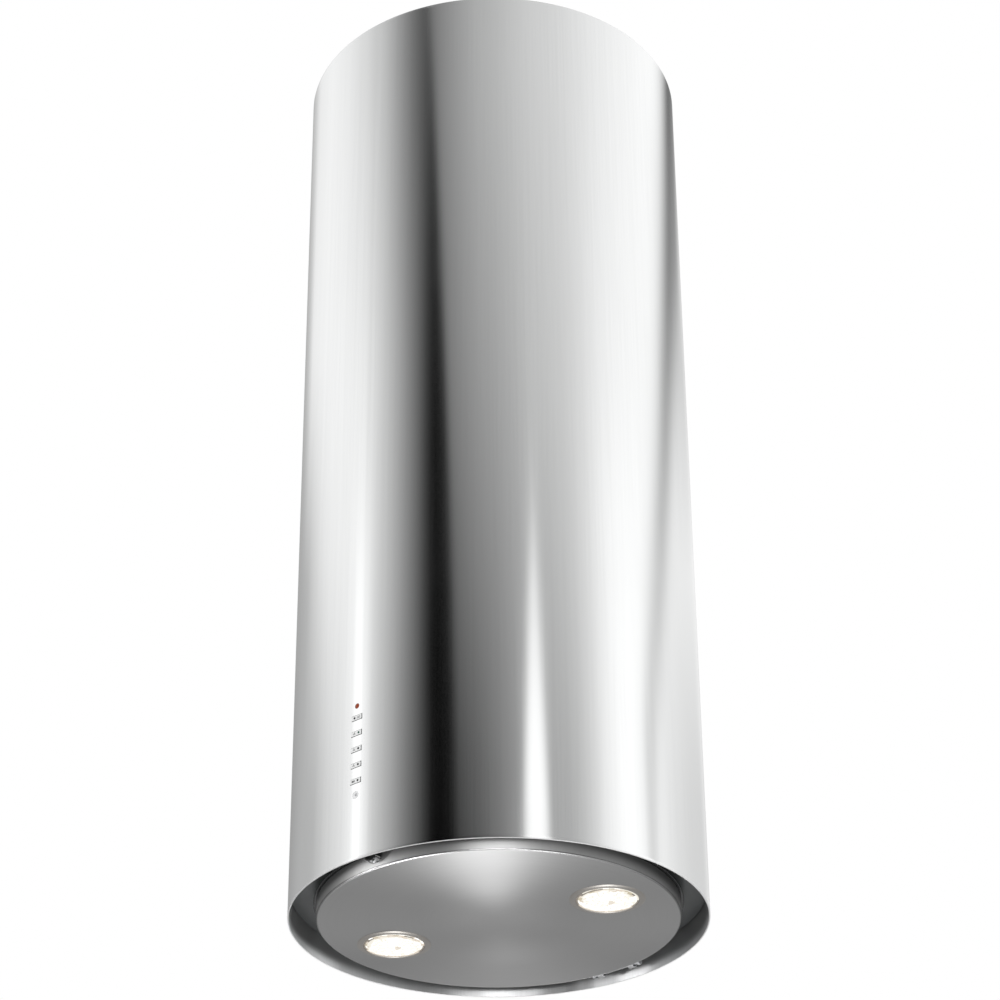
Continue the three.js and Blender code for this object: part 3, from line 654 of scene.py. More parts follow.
def glow(name, base, strength, emit, rough=0.2, scale=900.0, bump=0.3, dist=0.0006, trans=0.0):
    m, t, b = principled(name)
    p = t.obj()
    vo = t.node("ShaderNodeTexVoronoi", feature="SMOOTH_F1")
    t.put(vo.inputs["Vector"], p)
    vo.inputs["Scale"].default_value = scale
    n2 = t.noise(p, 70.0, 2.0, 0.5)
    colour = t.mixc(t.remap(n2, 0.35, 0.7), (*[c * 0.9 for c in base], 1), (*base, 1))
    t.put(b.inputs["Base Color"], colour)
    t.put(b.inputs["Roughness"], t.add(rough, t.mul(vo.outputs["Distance"], 0.12)))
    b.inputs["Emission Color"].default_value = (*emit, 1)
    b.inputs["Emission Strength"].default_value = strength
    b.inputs["Transmission Weight"].default_value = trans
    t.put(b.inputs["Normal"], t.bump(vo.outputs["Distance"], bump, dist))
    return m


M = {}
M["shell"] = brushed("shell_steel_mat", (0.799, 0.805, 0.804), rough=0.13, aniso=0.0, rot=0.25, grain="vertical", rough_var=0.03, col_var=0.012, bump=0.03)
# painted shade: the inner face darkens from 1 mm to 12 mm up, for the shade deeper in the gap; the cloudy dirt patches
# are its own
M["shell_in"] = brushed("shell_inside_mat", (0.86, 0.865, 0.87), rough=0.46, aniso=0.75, rot=0.25, grain="vertical", rough_var=0.04, col_var=0.03, bump=0.05, dirt=0.3, waves=0.9, painted_gap_shade=(1.0, 12.0, 0.38))
# painted highlight: the shell's bottom rim is its steel made nearly white, so the rounded edge reads as a bright line
# of light; its rougher finish is its own
M["rim"] = brushed("rim_mat", (0.97, 0.97, 0.97), rough=0.62, aniso=0.0, rot=0.0, grain="rings", rough_var=0.02, col_var=0.01, bump=0.01)
M["sleeve"] = brushed("sleeve_steel_mat", (0.78, 0.785, 0.79), rough=0.15, aniso=0.0, rot=0.25, grain="vertical", rough_var=0.03, col_var=0.015, bump=0.03)
M["panel"] = brushed("panel_steel_mat", (0.50, 0.50, 0.50), rough=0.34, aniso=0.75, rot=0.25, grain="rings", rough_var=0.03, col_var=0.012, bump=0.03, dish=1.7, dull_centre=0.42, lean=(0.024, 0.020))
# painted shade: the panel's rounded bottom edge is the panel steel made much darker, so the edge reads as lying in
# shade
M["panel_edge"] = brushed("panel_edge_painted_shade_mat", (0.22, 0.22, 0.22), rough=0.30, aniso=0.0, rot=0.25, grain="rings", rough_var=0.02, col_var=0.01, bump=0.01)
# painted shade: the panel's wall darkens from 2 mm to 12 mm up, for the shade deeper in the gap
M["panel_wall"] = brushed("panel_wall_mat", (0.46, 0.46, 0.46), rough=0.52, aniso=0.85, rot=0.25, grain="vertical", rough_var=0.03, col_var=0.015, bump=0.03, painted_gap_shade=(2.0, 12.0, 0.36))
M["ring"] = brushed("bezel_mat", (0.50, 0.475, 0.445), rough=0.30, aniso=0.4, rot=0.25, grain="rings", rough_var=0.03, col_var=0.02, bump=0.03)
M["bright"] = metal("bright_steel_mat", (0.86, 0.865, 0.87), rough=0.12, rough_var=0.04, col_var=0.02, scale=90, bump=0.02, wear=0.1)
M["zinc"] = metal("zinc_mat", (0.60, 0.615, 0.63), rough=0.42, rough_var=0.08, col_var=0.05, scale=45, bump=0.06, spangle=True)
M["dark"] = paint("dark_paint_mat", (0.105, 0.11, 0.112), rough=0.42, orange=0.10, wear=0.15, wear_col=(0.25, 0.25, 0.25))
M["black"] = paint("black_plastic_mat", (0.022, 0.023, 0.025), rough=0.5, orange=0.16, wear=0.35, wear_col=(0.09, 0.09, 0.09))
M["trim"] = paint("trim_mat", (0.030, 0.031, 0.032), rough=0.20, orange=0.06, wear=0.3, wear_col=(0.10, 0.10, 0.10))
M["grey"] = paint("grey_plastic_mat", (0.16, 0.165, 0.17), rough=0.5, orange=0.15)
M["key"] = brushed("key_mat", (0.80, 0.806, 0.803), rough=0.30, aniso=0.0, rot=0.0, grain="x", rough_var=0.03, col_var=0.012, bump=0.03)
M["mark"] = paint("key_mark_mat", (0.035, 0.037, 0.04), rough=0.4, orange=0.05, wear=0.0)
M["mark_soft"] = paint("key_icon_mat", (0.13, 0.135, 0.14), rough=0.4, orange=0.05, wear=0.0)
M["white"] = paint("white_plastic_mat", (0.72, 0.72, 0.69), rough=0.45, orange=0.12, wear_col=(0.8, 0.8, 0.8))
M["alu"] = metal("filter_aluminium_mat", (0.72, 0.73, 0.74), rough=0.38, rough_var=0.1, col_var=0.06, scale=120, bump=0.12)
M["board"] = paint("board_mat", (0.03, 0.13, 0.06), rough=0.35, orange=0.08, wear=0.2, wear_col=(0.5, 0.42, 0.2))
M["glass"] = glow("lamp_glass_mat", (0.36, 0.35, 0.33), 0.84, (1.0, 0.985, 0.92), rough=0.10, scale=420.0, bump=0.5, dist=0.0012)
M["glass_hot"] = glow("lamp_glass_hot_mat", (0.4, 0.4, 0.38), 1.25, (1.0, 0.985, 0.95), rough=0.10, scale=420.0, bump=0.4, dist=0.0012)
M["glass_soft"] = glow("lamp_glass_soft_mat", (0.34, 0.33, 0.30), 0.70, (1.0, 0.95, 0.84), rough=0.12, scale=420.0, bump=0.6, dist=0.0012)
M["glass_amber"] = glow("lamp_glass_amber_mat", (0.33, 0.30, 0.26), 0.55, (1.0, 0.87, 0.72), rough=0.15, scale=420.0, bump=0.6, dist=0.0012)
M["glass_gold"] = glow("lamp_glass_gold_mat", (0.30, 0.27, 0.21), 0.40, (1.0, 0.87, 0.62), rough=0.2, scale=420.0, bump=0.6, dist=0.0012)
M["glass_rim"] = glow("lamp_glass_rim_mat", (0.22, 0.20, 0.17), 0.13, (1.0, 0.86, 0.70), rough=0.25, scale=420.0, bump=0.5, dist=0.0012)
M["alu_pad"] = metal("filter_pad_mat", (0.40, 0.405, 0.41), rough=0.5, rough_var=0.1, col_var=0.12, scale=300, bump=0.3)
M["knob"] = metal("knob_mat", (0.40, 0.405, 0.41), rough=0.20, rough_var=0.04, col_var=0.03, scale=90, bump=0.02, wear=0.1)
M["hook"] = metal("hook_mat", (0.52, 0.525, 0.53), rough=0.30, rough_var=0.05, col_var=0.03, scale=90, bump=0.03, wear=0.2)
M["spring"] = metal("spring_mat", (0.12, 0.12, 0.125), rough=0.30, rough_var=0.05, col_var=0.04, scale=120, bump=0.04)
M["bulb"] = glow("lamp_bulb_mat", (1.0, 0.95, 0.85), 6.0, (1.0, 0.90, 0.70), rough=0.1, scale=300.0, bump=0.05)
M["cup"] = metal("reflector_mat", (0.92, 0.88, 0.76), rough=0.10, rough_var=0.04, col_var=0.03, scale=200, bump=0.05)
M["red"] = glow("red_lens_mat", (0.30, 0.045, 0.015), 0.16, (0.80, 0.16, 0.04), rough=0.15, scale=500.0, bump=0.05)
M["green"] = glow("green_dot_mat", (0.0, 0.10, 0.06), 0.05, (0.0, 0.35, 0.22), rough=0.25, scale=500.0, bump=0.02)
M["window"] = paint("window_mat", (0.80, 0.805, 0.81), rough=0.22, metallic=0.7, orange=0.02, wear=0.1, col_var=0.02)
M["glyph"] = paint("window_sign_mat", (0.55, 0.555, 0.57), rough=0.4, orange=0.02, wear=0.0)

NODE_MATERIAL = {
    "ceiling_plate": "zinc", "terminal_box": "black", "cable_gland": "grey", "blower_housing": "zinc", "motor": "dark",
    "motor_bracket": "zinc", "blower_shelf": "zinc", "electrics_plate": "zinc", "hinge_bracket": "zinc", "intake_plate": "dark",
    "impeller": "black", "duct_collar": "black", "power_box": "black", "control_housing": "black", "filter_latch": "black",
    "panel_trim": "trim", "damper_flap_rear": "grey", "damper_flap_front": "grey", "receiver_window": "window",
    "lamp_transformer": "white", "capacitor": "white", "filter_frame": "alu", "filter_mesh": "alu", "control_board": "board",
    "outer_shell": "shell", "upper_sleeve": "sleeve", "panel_tray": "panel", "damper_pin": "bright", "motor_shaft": "bright",
    "catch_knob": "bright", "catch_clip": "dark", "led_lens": "red",
}
for i in range(1, 5):
    NODE_MATERIAL[f"upper_rail_{i}"] = NODE_MATERIAL[f"lower_rail_{i}"] = "zinc"
    NODE_MATERIAL[f"clamp_screw_{i}"] = "bright"
for i in (1, 2):
    NODE_MATERIAL[f"hinge_hook_{i}"] = "bright"
    NODE_MATERIAL[f"lamp_bezel_{i}"], NODE_MATERIAL[f"lamp_glass_{i}"] = "ring", "glass"
    NODE_MATERIAL[f"lamp_reflector_{i}"], NODE_MATERIAL[f"lamp_bulb_{i}"] = "cup", "bulb"
for i in range(1, 6):
    NODE_MATERIAL[f"button_{i}"] = "key"
for n, ob in NODES.items():
    ob.data.materials.clear()
    ob.data.materials.append(M[NODE_MATERIAL[n]])

# ------------------------------------------------------------------ outer shell: one seamless cylinder with its cut-outs
def make_shell():
    seg = 288
    step = 360.0 / seg
    half_w = math.degrees(HOLE_W / SHELL_R)
    # angles measured from -Y; the front window of the grid holds the cut-outs
    front = sorted({-half_w, half_w, *[math.degrees(q / SHELL_R) for q in (-4, -3, -2, -1, 0, 1, 2, 3, 4)]})
    coarse = [k * step for k in range(-seg // 2 + 1, seg // 2 + 1) if abs(k * step) > half_w + 0.6]
    angles = sorted(front + coarse)
    heights = {0.0: 0, 889.0: 0}
    rows = [0.0, 3.0, 8.0, 16.0, 28.0, 40.0, 50.0]
    for h in BUTTON_H:
        rows += [h - HOLE_T, h + HOLE_T]
    for c in (LED_H, RECEIVER_H):
        rows += [c + q for q in (-4, -3, -2, -1, 0, 1, 2, 3, 4)]
    rows += [160, 176, 200, 236, 290, 370, 470, 580, 690, 780, 840, 870, 882, 886.5, 889.0]
    rows = sorted(set(round(q, 4) for q in rows))
    bm = bmesh.new()

    def skin(radius, rim_low, rim_high):
        grid = []
        for h in rows:
            line = []
            for a in angles:
                line.append([radius, a, h])
            grid.append(line)
        # pull the ring of points round each small round hole onto its circle
        for c, rr in ((LED_H, 2.5), (RECEIVER_H, 3.4)):
            for i, h in enumerate(rows):
                for j, a in enumerate(angles):
                    du, dv = a * math.pi / 180 * SHELL_R, h - c
                    m = max(abs(du), abs(dv))
                    if abs(m - 2.0) < 0.02 and abs(du) <= 2.01 and abs(dv) <= 2.01:
                        k = rr / math.hypot(du, dv)
                        grid[i][j] = [radius, math.degrees(du * k / SHELL_R), c + dv * k]
                    elif abs(m - 3.0) < 0.02 and abs(du) <= 3.01 and abs(dv) <= 3.01:
                        k = (0.5 + 0.5 * (rr + 0.75) / math.hypot(du, dv))
                        grid[i][j] = [radius, math.degrees(du * k / SHELL_R), c + dv * k]
        verts = []
        for i, line in enumerate(grid):
            out = []
            for r, a, h in line:
                q = math.radians(a)
                if i == 0:
                    h += rim_low
                if i == len(rows) - 1:
                    h -= rim_high
                out.append(bm.verts.new(Vector((r * math.sin(q), -r * math.cos(q), up(h))) * MM))
            verts.append(out)
        return verts

    out = skin(SHELL_R, 0.5, 0.35)
    inn = skin(SHELL_RI, 0.35, 0.35)
    na, nr = len(angles), len(rows)

    def is_hole(i, j):
        h = (rows[i] + rows[i + 1]) / 2
        a0, a1 = angles[j], angles[(j + 1) % na]
        if a1 < a0:
            return False
        a = (a0 + a1) / 2
        du = a * math.pi / 180 * SHELL_R
        if any(abs(h - c) < HOLE_T for c in BUTTON_H) and abs(du) < HOLE_W:
            return True
        return any(abs(h - c) < 2.0 and abs(du) < 2.0 for c in (LED_H, RECEIVER_H))

    for i in range(nr - 1):
        for j in range(na):
            j2 = (j + 1) % na
            if is_hole(i, j):
                continue
            bm.faces.new((out[i][j], out[i][j2], out[i + 1][j2], out[i + 1][j]))
            f = bm.faces.new((inn[i][j], inn[i + 1][j], inn[i + 1][j2], inn[i][j2]))
            f.material_index = 1
            for (di, dj, p, q) in ((-1, 0, (i, j), (i, j2)), (1, 0, (i + 1, j), (i + 1, j2)), (0, -1, (i, j), (i + 1, j)), (0, 1, (i, j2), (i + 1, j2))):
                i3, j3 = i + di, (j + dj) % na
                if 0 <= i3 < nr - 1 and is_hole(i3, j3):
                    bm.faces.new((out[p[0]][p[1]], out[q[0]][q[1]], inn[q[0]][q[1]], inn[p[0]][p[1]]))
    # rounded rims: outer corner, flat, inner corner
    for row, sign in ((0, -1), (nr - 1, 1)):
        # the bottom rim takes the whitened rim steel, a painted highlight; the top rim keeps the plain shell steel
        mat = 2 if row == 0 else 0
        base = rows[row]
        ring_pts = []
        for k in range(1, 4):
            an = math.radians(90 * k / 4)
            q = 0.5 if row == 0 else 0.35
            ring_pts.append((SHELL_R - q * (1 - math.cos(math.pi / 2 - an)), base - sign * q * (1 - math.sin(math.pi / 2 - an))))
        ring_pts.append((SHELL_R - q, base))
        ring_pts.append((SHELL_RI + 0.35, base))
        for k in range(3, 0, -1):
            an = math.radians(90 * k / 4)
            ring_pts.append((SHELL_RI + 0.35 * (1 - math.cos(math.pi / 2 - an)), base - sign * 0.35 * (1 - math.sin(math.pi / 2 - an))))
        prev = out[row]
        for r, h in ring_pts:
            cur = []
            for a in angles:
                q = math.radians(a)
                cur.append(bm.verts.new(Vector((r * math.sin(q), -r * math.cos(q), up(h))) * MM))
            for j in range(na):
                j2 = (j + 1) % na
                bm.faces.new((prev[j], prev[j2], cur[j2], cur[j])).material_index = mat
            prev = cur
        for j in range(na):
            j2 = (j + 1) % na
            bm.faces.new((prev[j], prev[j2], inn[row][j2], inn[row][j])).material_index = mat
    # the sheet's inner face is a mesh of its own, so that light can be aimed at it alone
    inner = bm.copy()
    bmesh.ops.delete(bm, geom=[f for f in bm.faces if f.material_index == 1], context="FACES")
    bmesh.ops.delete(inner, geom=[f for f in inner.faces if f.material_index != 1], context="FACES")
    for f in inner.faces:
        f.material_index = 0
    finish_mesh("shell_inner_face", inner, M["shell_in"], "hood_body", "shell_steel", ["outer_shell"], sharp=40, facing=-1)
    return finish_mesh("shell_skin", bm, [M["shell"], M["shell"], M["rim"]], "hood_body", "shell_steel", ["outer_shell"], sharp=40)


make_shell()


# ------------------------------------------------------------------ bottom panel
def make_panel():
    bm = bmesh.new()
    seg = 256
    profile = [(PANEL_R - 1.55, 0.0)]
    for k in range(1, 6):
        an = math.radians(90 * k / 5)
        profile.append((PANEL_R - 1.55 + 1.55 * math.sin(an), 1.55 * (1 - math.cos(an))))
    profile += [(PANEL_R, 4.0), (PANEL_R, 9.0), (PANEL_R, 13.4), (PANEL_R, 14.35), (PANEL_R - 0.25, 14.6), (PANEL_R - 0.75, 14.6),
                (PANEL_R - 1.0, 14.35), (PANEL_R - 1.0, 13.4), (PANEL_R - 1.0, 4.0), (PANEL_R - 1.0, 2.2), (PANEL_R - 2.2, 1.0)]
    edge = bmesh.new()      # the turned-up wall is a mesh of its own, so that light can be aimed at it alone
    rims = [ring_at(edge, r, up(h), seg) for r, h in profile]
    rings = [ring_at(bm, r, up(h), seg) for r, h in (profile[0], profile[-1])]
    for i in range(len(rims) - 1):
        for k in range(seg):
            k2 = (k + 1) % seg
            f = edge.faces.new((rims[i][k], rims[i][k2], rims[i + 1][k2], rims[i + 1][k]))
            # the rounded bottom edge takes the darkened edge steel, painted shade
            f.material_index = 1 if 1 <= i <= 4 else 0
    holes = {0.0: [], 1.0: []}
    for cx, cy in LAMPS:
        loops = []
        for h in (0.0, 1.0):
            lp = [bm.verts.new(Vector((cx + 30.6 * math.cos(TAU * k / 72), cy + 30.6 * math.sin(TAU * k / 72), up(h))) * MM) for k in range(72)]
            holes[h].append(lp)
            loops.append(lp)
        for k in range(72):
            k2 = (k + 1) % 72
            bm.faces.new((loops[0][k], loops[0][k2], loops[1][k2], loops[1][k]))
    grid = [(150, 128), (140, 96), (125, 72), (60, 36), (40, 24), (20, 12)]
    flat_with_holes(bm, rings[0], holes[0.0], up(0.0), flip=True, rings=grid)
    flat_with_holes(bm, rings[-1], holes[1.0], up(1.0), rings=grid)
    finish_mesh("panel_wall_skin", edge, [M["panel_wall"], M["panel_edge"]], "panel", "panel_steel", ["panel_tray"], sharp=40)
    return finish_mesh("panel_skin", bm, M["panel"], "panel", "panel_steel", ["panel_tray"], sharp=40)


make_panel()
turned("panel_trim_ring", [(158.6, up(14.9)), (162.6, up(14.9)), (162.6, up(16.8)), (158.6, up(16.8))], 256, M["trim"], "panel", "black_plastic",
       ["panel_trim"], round_r=0.6, n=4)

for i, (cx, cy) in enumerate(LAMPS, 1):
    turned(f"bezel_{i}", [(27.3, up(-0.8)), (28.0, up(-1.2)), (31.2, up(-0.9)), (33.0, up(-0.12)), (33.0, up(-0.02)), (30.0, up(-0.02)),
                          (30.0, up(13)), (28.7, up(13)), (28.7, up(0.6)), (27.3, up(0.6))], 128, M["ring"], "panel", "satin_ring",
           [f"lamp_bezel_{i}"], centre=(cx, cy, 0), round_r=0.28, n=3)
    # pressed glass: each facet is one of a few brightnesses, hottest over the capsule, golden at its lip
    bm = bmesh.new()
    rnd = random.Random(11 + i)
    dome = [(0.0, -2.6)]
    for k in range(1, 17):
        r = 25.6 * k / 16
        dome.append((r, -2.6 + 1.9 * (r / 25.6) ** 2.2))
    dome += [(26.0, -0.72), (27.0, -0.8), (27.1, -0.6), (27.1, 0.1), (27.1, 0.9), (28.0, 0.9), (28.2, 1.1), (28.2, 3.2), (28.0, 3.4), (0.0, 3.4)]
    rings = spin(bm, [(r, up(h)) for r, h in dome], 96, (cx, cy, 0))
    bm.faces.ensure_lookup_table()
    cols = {}
    for f in bm.faces:
        c = f.calc_center_median() / MM
        p = Vector((c.x - cx, c.y - cy, 0))
        across, near_cam = p.dot(RIGHT0), -p.dot(AWAY0)
        r = p.length
        sector = int(math.atan2(near_cam, across) / TAU * 96 + 96)
        spot = math.hypot(across + 0.5, (near_cam - 11) * 0.8)
        h = c.z - up(0)
        top = near_cam > 3 + 0.25 * across
        if r > 27.05 or h > 0.0:
            m = 5
        elif r > 25.65:
            m = cols.setdefault((3, sector // 3), rnd.choice((2, 3, 0, 1, 2)) if near_cam > 9 - 0.3 * across else (5 if near_cam > -12 else 3))
        elif r > 24.4:
            m = cols.setdefault((0, sector // 3), rnd.choice((4, 5, 5, 3, 4) if top else (2, 0, 3, 0)))
        elif r > 22.4 and top:
            m = cols.setdefault((1, sector // 4), rnd.choice((3, 2, 4, 3, 2)))
        elif r > 20.4 and top:
            m = cols.setdefault((2, sector // 5), rnd.choice((2, 0, 3, 2)))
        elif spot < 4.2:
            m = 1
        elif 0 < across - 1.0 < 5.5 and abs(near_cam + 1.5) < 6.0 - across * 0.6:
            m = (3, 2, 3)[(sector + int(r * 1.3)) % 3]
        elif rnd.random() < 0.22:
            m = 2
        elif rnd.random() < 0.25:
            m = 1
        else:
            m = 0
        f.material_index = m
    finish_mesh(f"glass_{i}", bm, [M["glass"], M["glass_hot"], M["glass_soft"], M["glass_amber"], M["glass_gold"], M["glass_rim"]], "panel",
                "lamp_glass", [f"lamp_glass_{i}"])
    turned(f"reflector_{i}", [(28.2, up(3.8)), (28.2, up(10)), (24.5, up(17)), (15, up(23.2)), (5.6, up(25)), (5.6, up(23.8)), (14.5, up(22)),
                              (23.6, up(16)), (27.2, up(9.4)), (27.2, up(3.8))], 96, M["cup"], "panel", "reflector", [f"lamp_reflector_{i}"],
           centre=(cx, cy, 0), round_r=0.6, n=3)
    turned(f"bulb_{i}", [(0, up(7.5)), (2.6, up(8)), (4, up(9.8)), (4, up(19)), (4.9, up(19.6)), (4.9, up(27.8)), (0, up(27.8))], 40, M["bulb"],
           "panel", "lamp_bulb", [f"lamp_bulb_{i}"], centre=(cx, cy, 0), round_r=0.4)

turned("knob", [(0, -PANEL_R - 8.5), (2.8, -PANEL_R - 8.3), (4.4, -PANEL_R - 7.2), (5, -PANEL_R - 5.6), (4.6, -PANEL_R - 4.0), (3, -PANEL_R - 3.0),
                (3, -PANEL_R - 0.3), (0, -PANEL_R - 0.3)], 64, M["knob"], "panel", "bright_steel", ["catch_knob"], centre=(CATCH_X, 0, up(7)), axis="Y",
       round_r=0.9, n=4)


# ------------------------------------------------------------------ buttons
def make_buttons():
    for i, h in enumerate(BUTTON_H, 1):
        bm = bmesh.new()
        slab(bm, -KEY_W / 2, KEY_W / 2, -185.42, -182.7, up(h - KEY_T / 2), up(h + KEY_T / 2), r=0.6, n=4, axis="Y", edge=0.3)
        slab(bm, -8.4, 8.4, -182.9, -181.4, up(h - 4.1), up(h + 4.1), r=0.6, n=3, axis="Y", edge=0.2)
        slab(bm, -2.4, 2.4, -181.5, -176.5, up(h - 1.8), up(h + 1.8), r=0.4, n=2, axis="Y", edge=0.2)
        finish_mesh(f"key_{i}", bm, M["key"], f"key_{i}", "key_plastic", [f"button_{i}"])
        # a raised dot, and a small plain sign on each key
        y = -185.42
        dot_x = -2.4 if i == 1 else 2.6
        bm = bmesh.new()
        spin(bm, fillet([(0, y - 0.12), (1.05, y - 0.12), (1.15, y + 0.2), (0, y + 0.2)], 0.06, 2, False), 24, (dot_x, 0, up(h)), "Y")
        finish_mesh(f"key_dot_{i}", bm, M["green"] if i == 2 else M["mark"], f"key_{i}", None)
        bm = bmesh.new()
        sx = 2.2 if i == 1 else -2.4
        if i == 1:        # lamp sign: a bar with rays
            slab(bm, sx - 1.8, sx + 1.8, y - 0.06, y + 0.1, up(h - 0.9), up(h - 0.5), axis="Y")
            for k in (-1.3, 0, 1.3):
                slab(bm, sx + k - 0.2, sx + k + 0.2, y - 0.06, y + 0.1, up(h - 0.1), up(h + 1.0), axis="Y")
        elif i == 5:      # clock sign: two blocks
            slab(bm, sx - 1.7, sx - 0.2, y - 0.06, y + 0.1, up(h - 0.9), up(h + 0.9), r=0.3, n=2, axis="Y")
            slab(bm, sx + 0.2, sx + 1.5, y - 0.06, y + 0.1, up(h - 0.9), up(h + 0.9), r=0.3, n=2, axis="Y")
        else:             # fan sign: a hub and blades, one more bar for each speed
            spin(bm, [(0, y - 0.06), (0.45, y - 0.06), (0.45, y + 0.1), (0, y + 0.1)], 12, (sx, 0, up(h)), "Y")
            for k in range(3):
                an = math.radians(90 + 120 * k)
                spin(bm, [(0, y - 0.06), (0.42, y - 0.06), (0.42, y + 0.1), (0, y + 0.1)], 10, (sx + 0.95 * math.cos(an), 0, up(h + 0.95 * math.sin(an))), "Y")
        finish_mesh(f"key_sign_{i}", bm, M["mark_soft"], f"key_{i}", None, weighted=False)


make_buttons()
turned("pilot_lens", [(0, -185.9), (1.0, -185.75), (1.7, -185.25), (2.1, -184.6), (2.3, -184.4), (2.3, -183.1), (3.6, -183.1), (3.6, -181.6), (2.55, -181.6), (2.55, -170),
                      (0, -170)], 48, M["red"], "hood_body", "red_lens", ["led_lens"], centre=(0, 0, up(LED_H)), axis="Y", round_r=0.2)
turned("receiver", [(0, -185.12), (3.3, -185.02), (3.3, -183.1), (4.2, -183.1), (4.2, -181.6), (3.1, -181.6), (3.1, -170), (0, -170)], 48, M["window"],
       "hood_body", "grey_plastic", ["receiver_window"], centre=(0, 0, up(RECEIVER_H)), axis="Y", round_r=0.15)

# the sign on the receiver window: three upright arcs
bm = bmesh.new()
for k, r in enumerate((0.7, 1.5, 2.3)):
    inner, outer = [], []
    for q in range(9):
        an = math.radians(-38 + 76 * q / 8)
        for lst, rr in ((inner, r), (outer, r + 0.38)):
            x, z = -1.3 + rr * math.cos(an), rr * math.sin(an)
            lst.append((x, z))
    fr = [[bm.verts.new(Vector((x, y, up(RECEIVER_H) + z)) * MM) for x, z in inner + outer[::-1]] for y in (-185.2, -184.95)]
    n = len(fr[0])
    bm.faces.new(fr[0])
    bm.faces.new(fr[1][::-1])
    for q in range(n):
        q2 = (q + 1) % n
        bm.faces.new((fr[0][q2], fr[0][q], fr[1][q], fr[1][q2]))
finish_mesh("receiver_sign", bm, M["glyph"], "hood_body", None, weighted=False)

# ------------------------------------------------------------------ more mesh helpers
def bridge(bm, a, b, mat=0):
    n = len(a)
    for k in range(n):
        k2 = (k + 1) % n
        bm.faces.new((a[k], a[k2], b[k2], b[k])).material_index = mat


def prism(bm, pts, lo, hi, axis="Z", mat=0):
    """A flat outline (mm) extruded between two levels. Axis X takes pts as (y, z), axis Y as (x, z)."""
    def at(p, q, level):
        return {"Z": (p, q, level), "Y": (p, level, q), "X": (level, p, q)}[axis]
    a = [bm.verts.new(Vector(at(p, q, lo)) * MM) for p, q in pts]
    b = [bm.verts.new(Vector(at(p, q, hi)) * MM) for p, q in pts]
    bridge(bm, a, b, mat)
    bm.faces.new(a[::-1]).material_index = mat
    bm.faces.new(b).material_index = mat


def arc(cx, cy, r, a0, a1, n):
    return [(cx + r * math.cos(math.radians(a0 + (a1 - a0) * k / n)), cy + r * math.sin(math.radians(a0 + (a1 - a0) * k / n))) for k in range(n + 1)]


def bevelled(ob, width=0.3, segments=2, angle=30.0):
    md = ob.modifiers.new("edges", "BEVEL")
    md.width = width * MM
    md.segments = segments
    md.limit_method = "ANGLE"
    md.angle_limit = math.radians(angle)
    md.harden_normals = False
    while ob.modifiers[0] != md and ob.modifiers[0].type == "WEIGHTED_NORMAL":
        ob.modifiers.move(len(ob.modifiers) - 1, 0)
    return ob


# ------------------------------------------------------------------ ceiling frame
turned("sleeve", [(181.4, -335), (182.4, -335), (182.4, -0.6), (181.4, -0.6)], 256, M["sleeve"], "ceiling_frame", "sleeve_steel",
       ["upper_sleeve"], round_r=0.3)


def make_ceiling_plate():
    bm = bmesh.new()
    seg = 192
    outline = [(180.0, 0.0), (180.4, -0.08), (180.75, -0.3), (180.93, -0.65), (181.0, -1.1), (181.0, -19.6), (180.85, -19.9), (180.5, -20.0),
               (179.5, -20.0), (179.15, -19.9), (179.0, -19.6), (179.0, -3.2), (178.85, -2.6), (178.4, -2.15), (177.8, -2.0)]
    rings = [ring_at(bm, r, h, seg) for r, h in outline]
    for a, b in zip(rings, rings[1:]):
        bridge(bm, a, b)
    tops, bottoms = [], []
    for cx, cy, r, n in ((0, 0, 80.0, 128), (92, 92, 4.5, 24), (92, -92, 4.5, 24), (-92, 92, 4.5, 24), (-92, -92, 4.5, 24), (0, -93, 9.0, 36)):
        a = ring_at(bm, r + 0.35, 0.0, n, cx, cy)
        b = ring_at(bm, r, -0.35, n, cx, cy)
        c = ring_at(bm, r, -1.65, n, cx, cy)
        d = ring_at(bm, r + 0.35, -2.0, n, cx, cy)
        for p, q in ((a, b), (b, c), (c, d)):
            bridge(bm, p, q)
        tops.append(a)
        bottoms.append(d)
    flat_with_holes(bm, rings[0], tops, 0.0)
    flat_with_holes(bm, rings[-1], bottoms, -2.0, flip=True)
    finish_mesh("ceiling_disc", bm, M["zinc"], "ceiling_frame", "zinc", ["ceiling_plate"])


make_ceiling_plate()

turned("gland", [(3.6, -113.8), (6.0, -113.8), (6.0, -111.6), (9.5, -111.6), (9.5, -105.5), (8, -104.5), (8, -100), (6.5, -98), (3.6, -98)], 48,
       M["grey"], "ceiling_frame", "grey_plastic", ["cable_gland"], centre=(0, 0, -17.3), axis="Y", round_r=0.5)
for k in range(4):
    bm = bmesh.new()
    spin(bm, fillet([(0, 124.3), (4.5, 124.3), (4.5, 126.4), (3.4, 127.6), (1.6, 127.6), (1.6, 126.4), (0, 126.4)], 0.4, 3, False), 32, (112, 0, -320), "Y")
    spin(bm, [(0, 114), (2.5, 114), (2.5, 125), (0, 125)], 24, (112, 0, -320), "Y")
    spin(bm, fillet([(0, 115.7), (4.4, 115.7), (4.4, 119.2), (0, 119.2)], 0.3, 2, False), 6, (112, 0, -320), "Y")
    bmesh.ops.transform(bm, matrix=Matrix.Rotation(math.radians(90 * k), 4, "Z"), verts=bm.verts)
    finish_mesh(f"clamp_{k + 1}", bm, M["bright"], "ceiling_frame", "bright_steel", [f"clamp_screw_{k + 1}"])


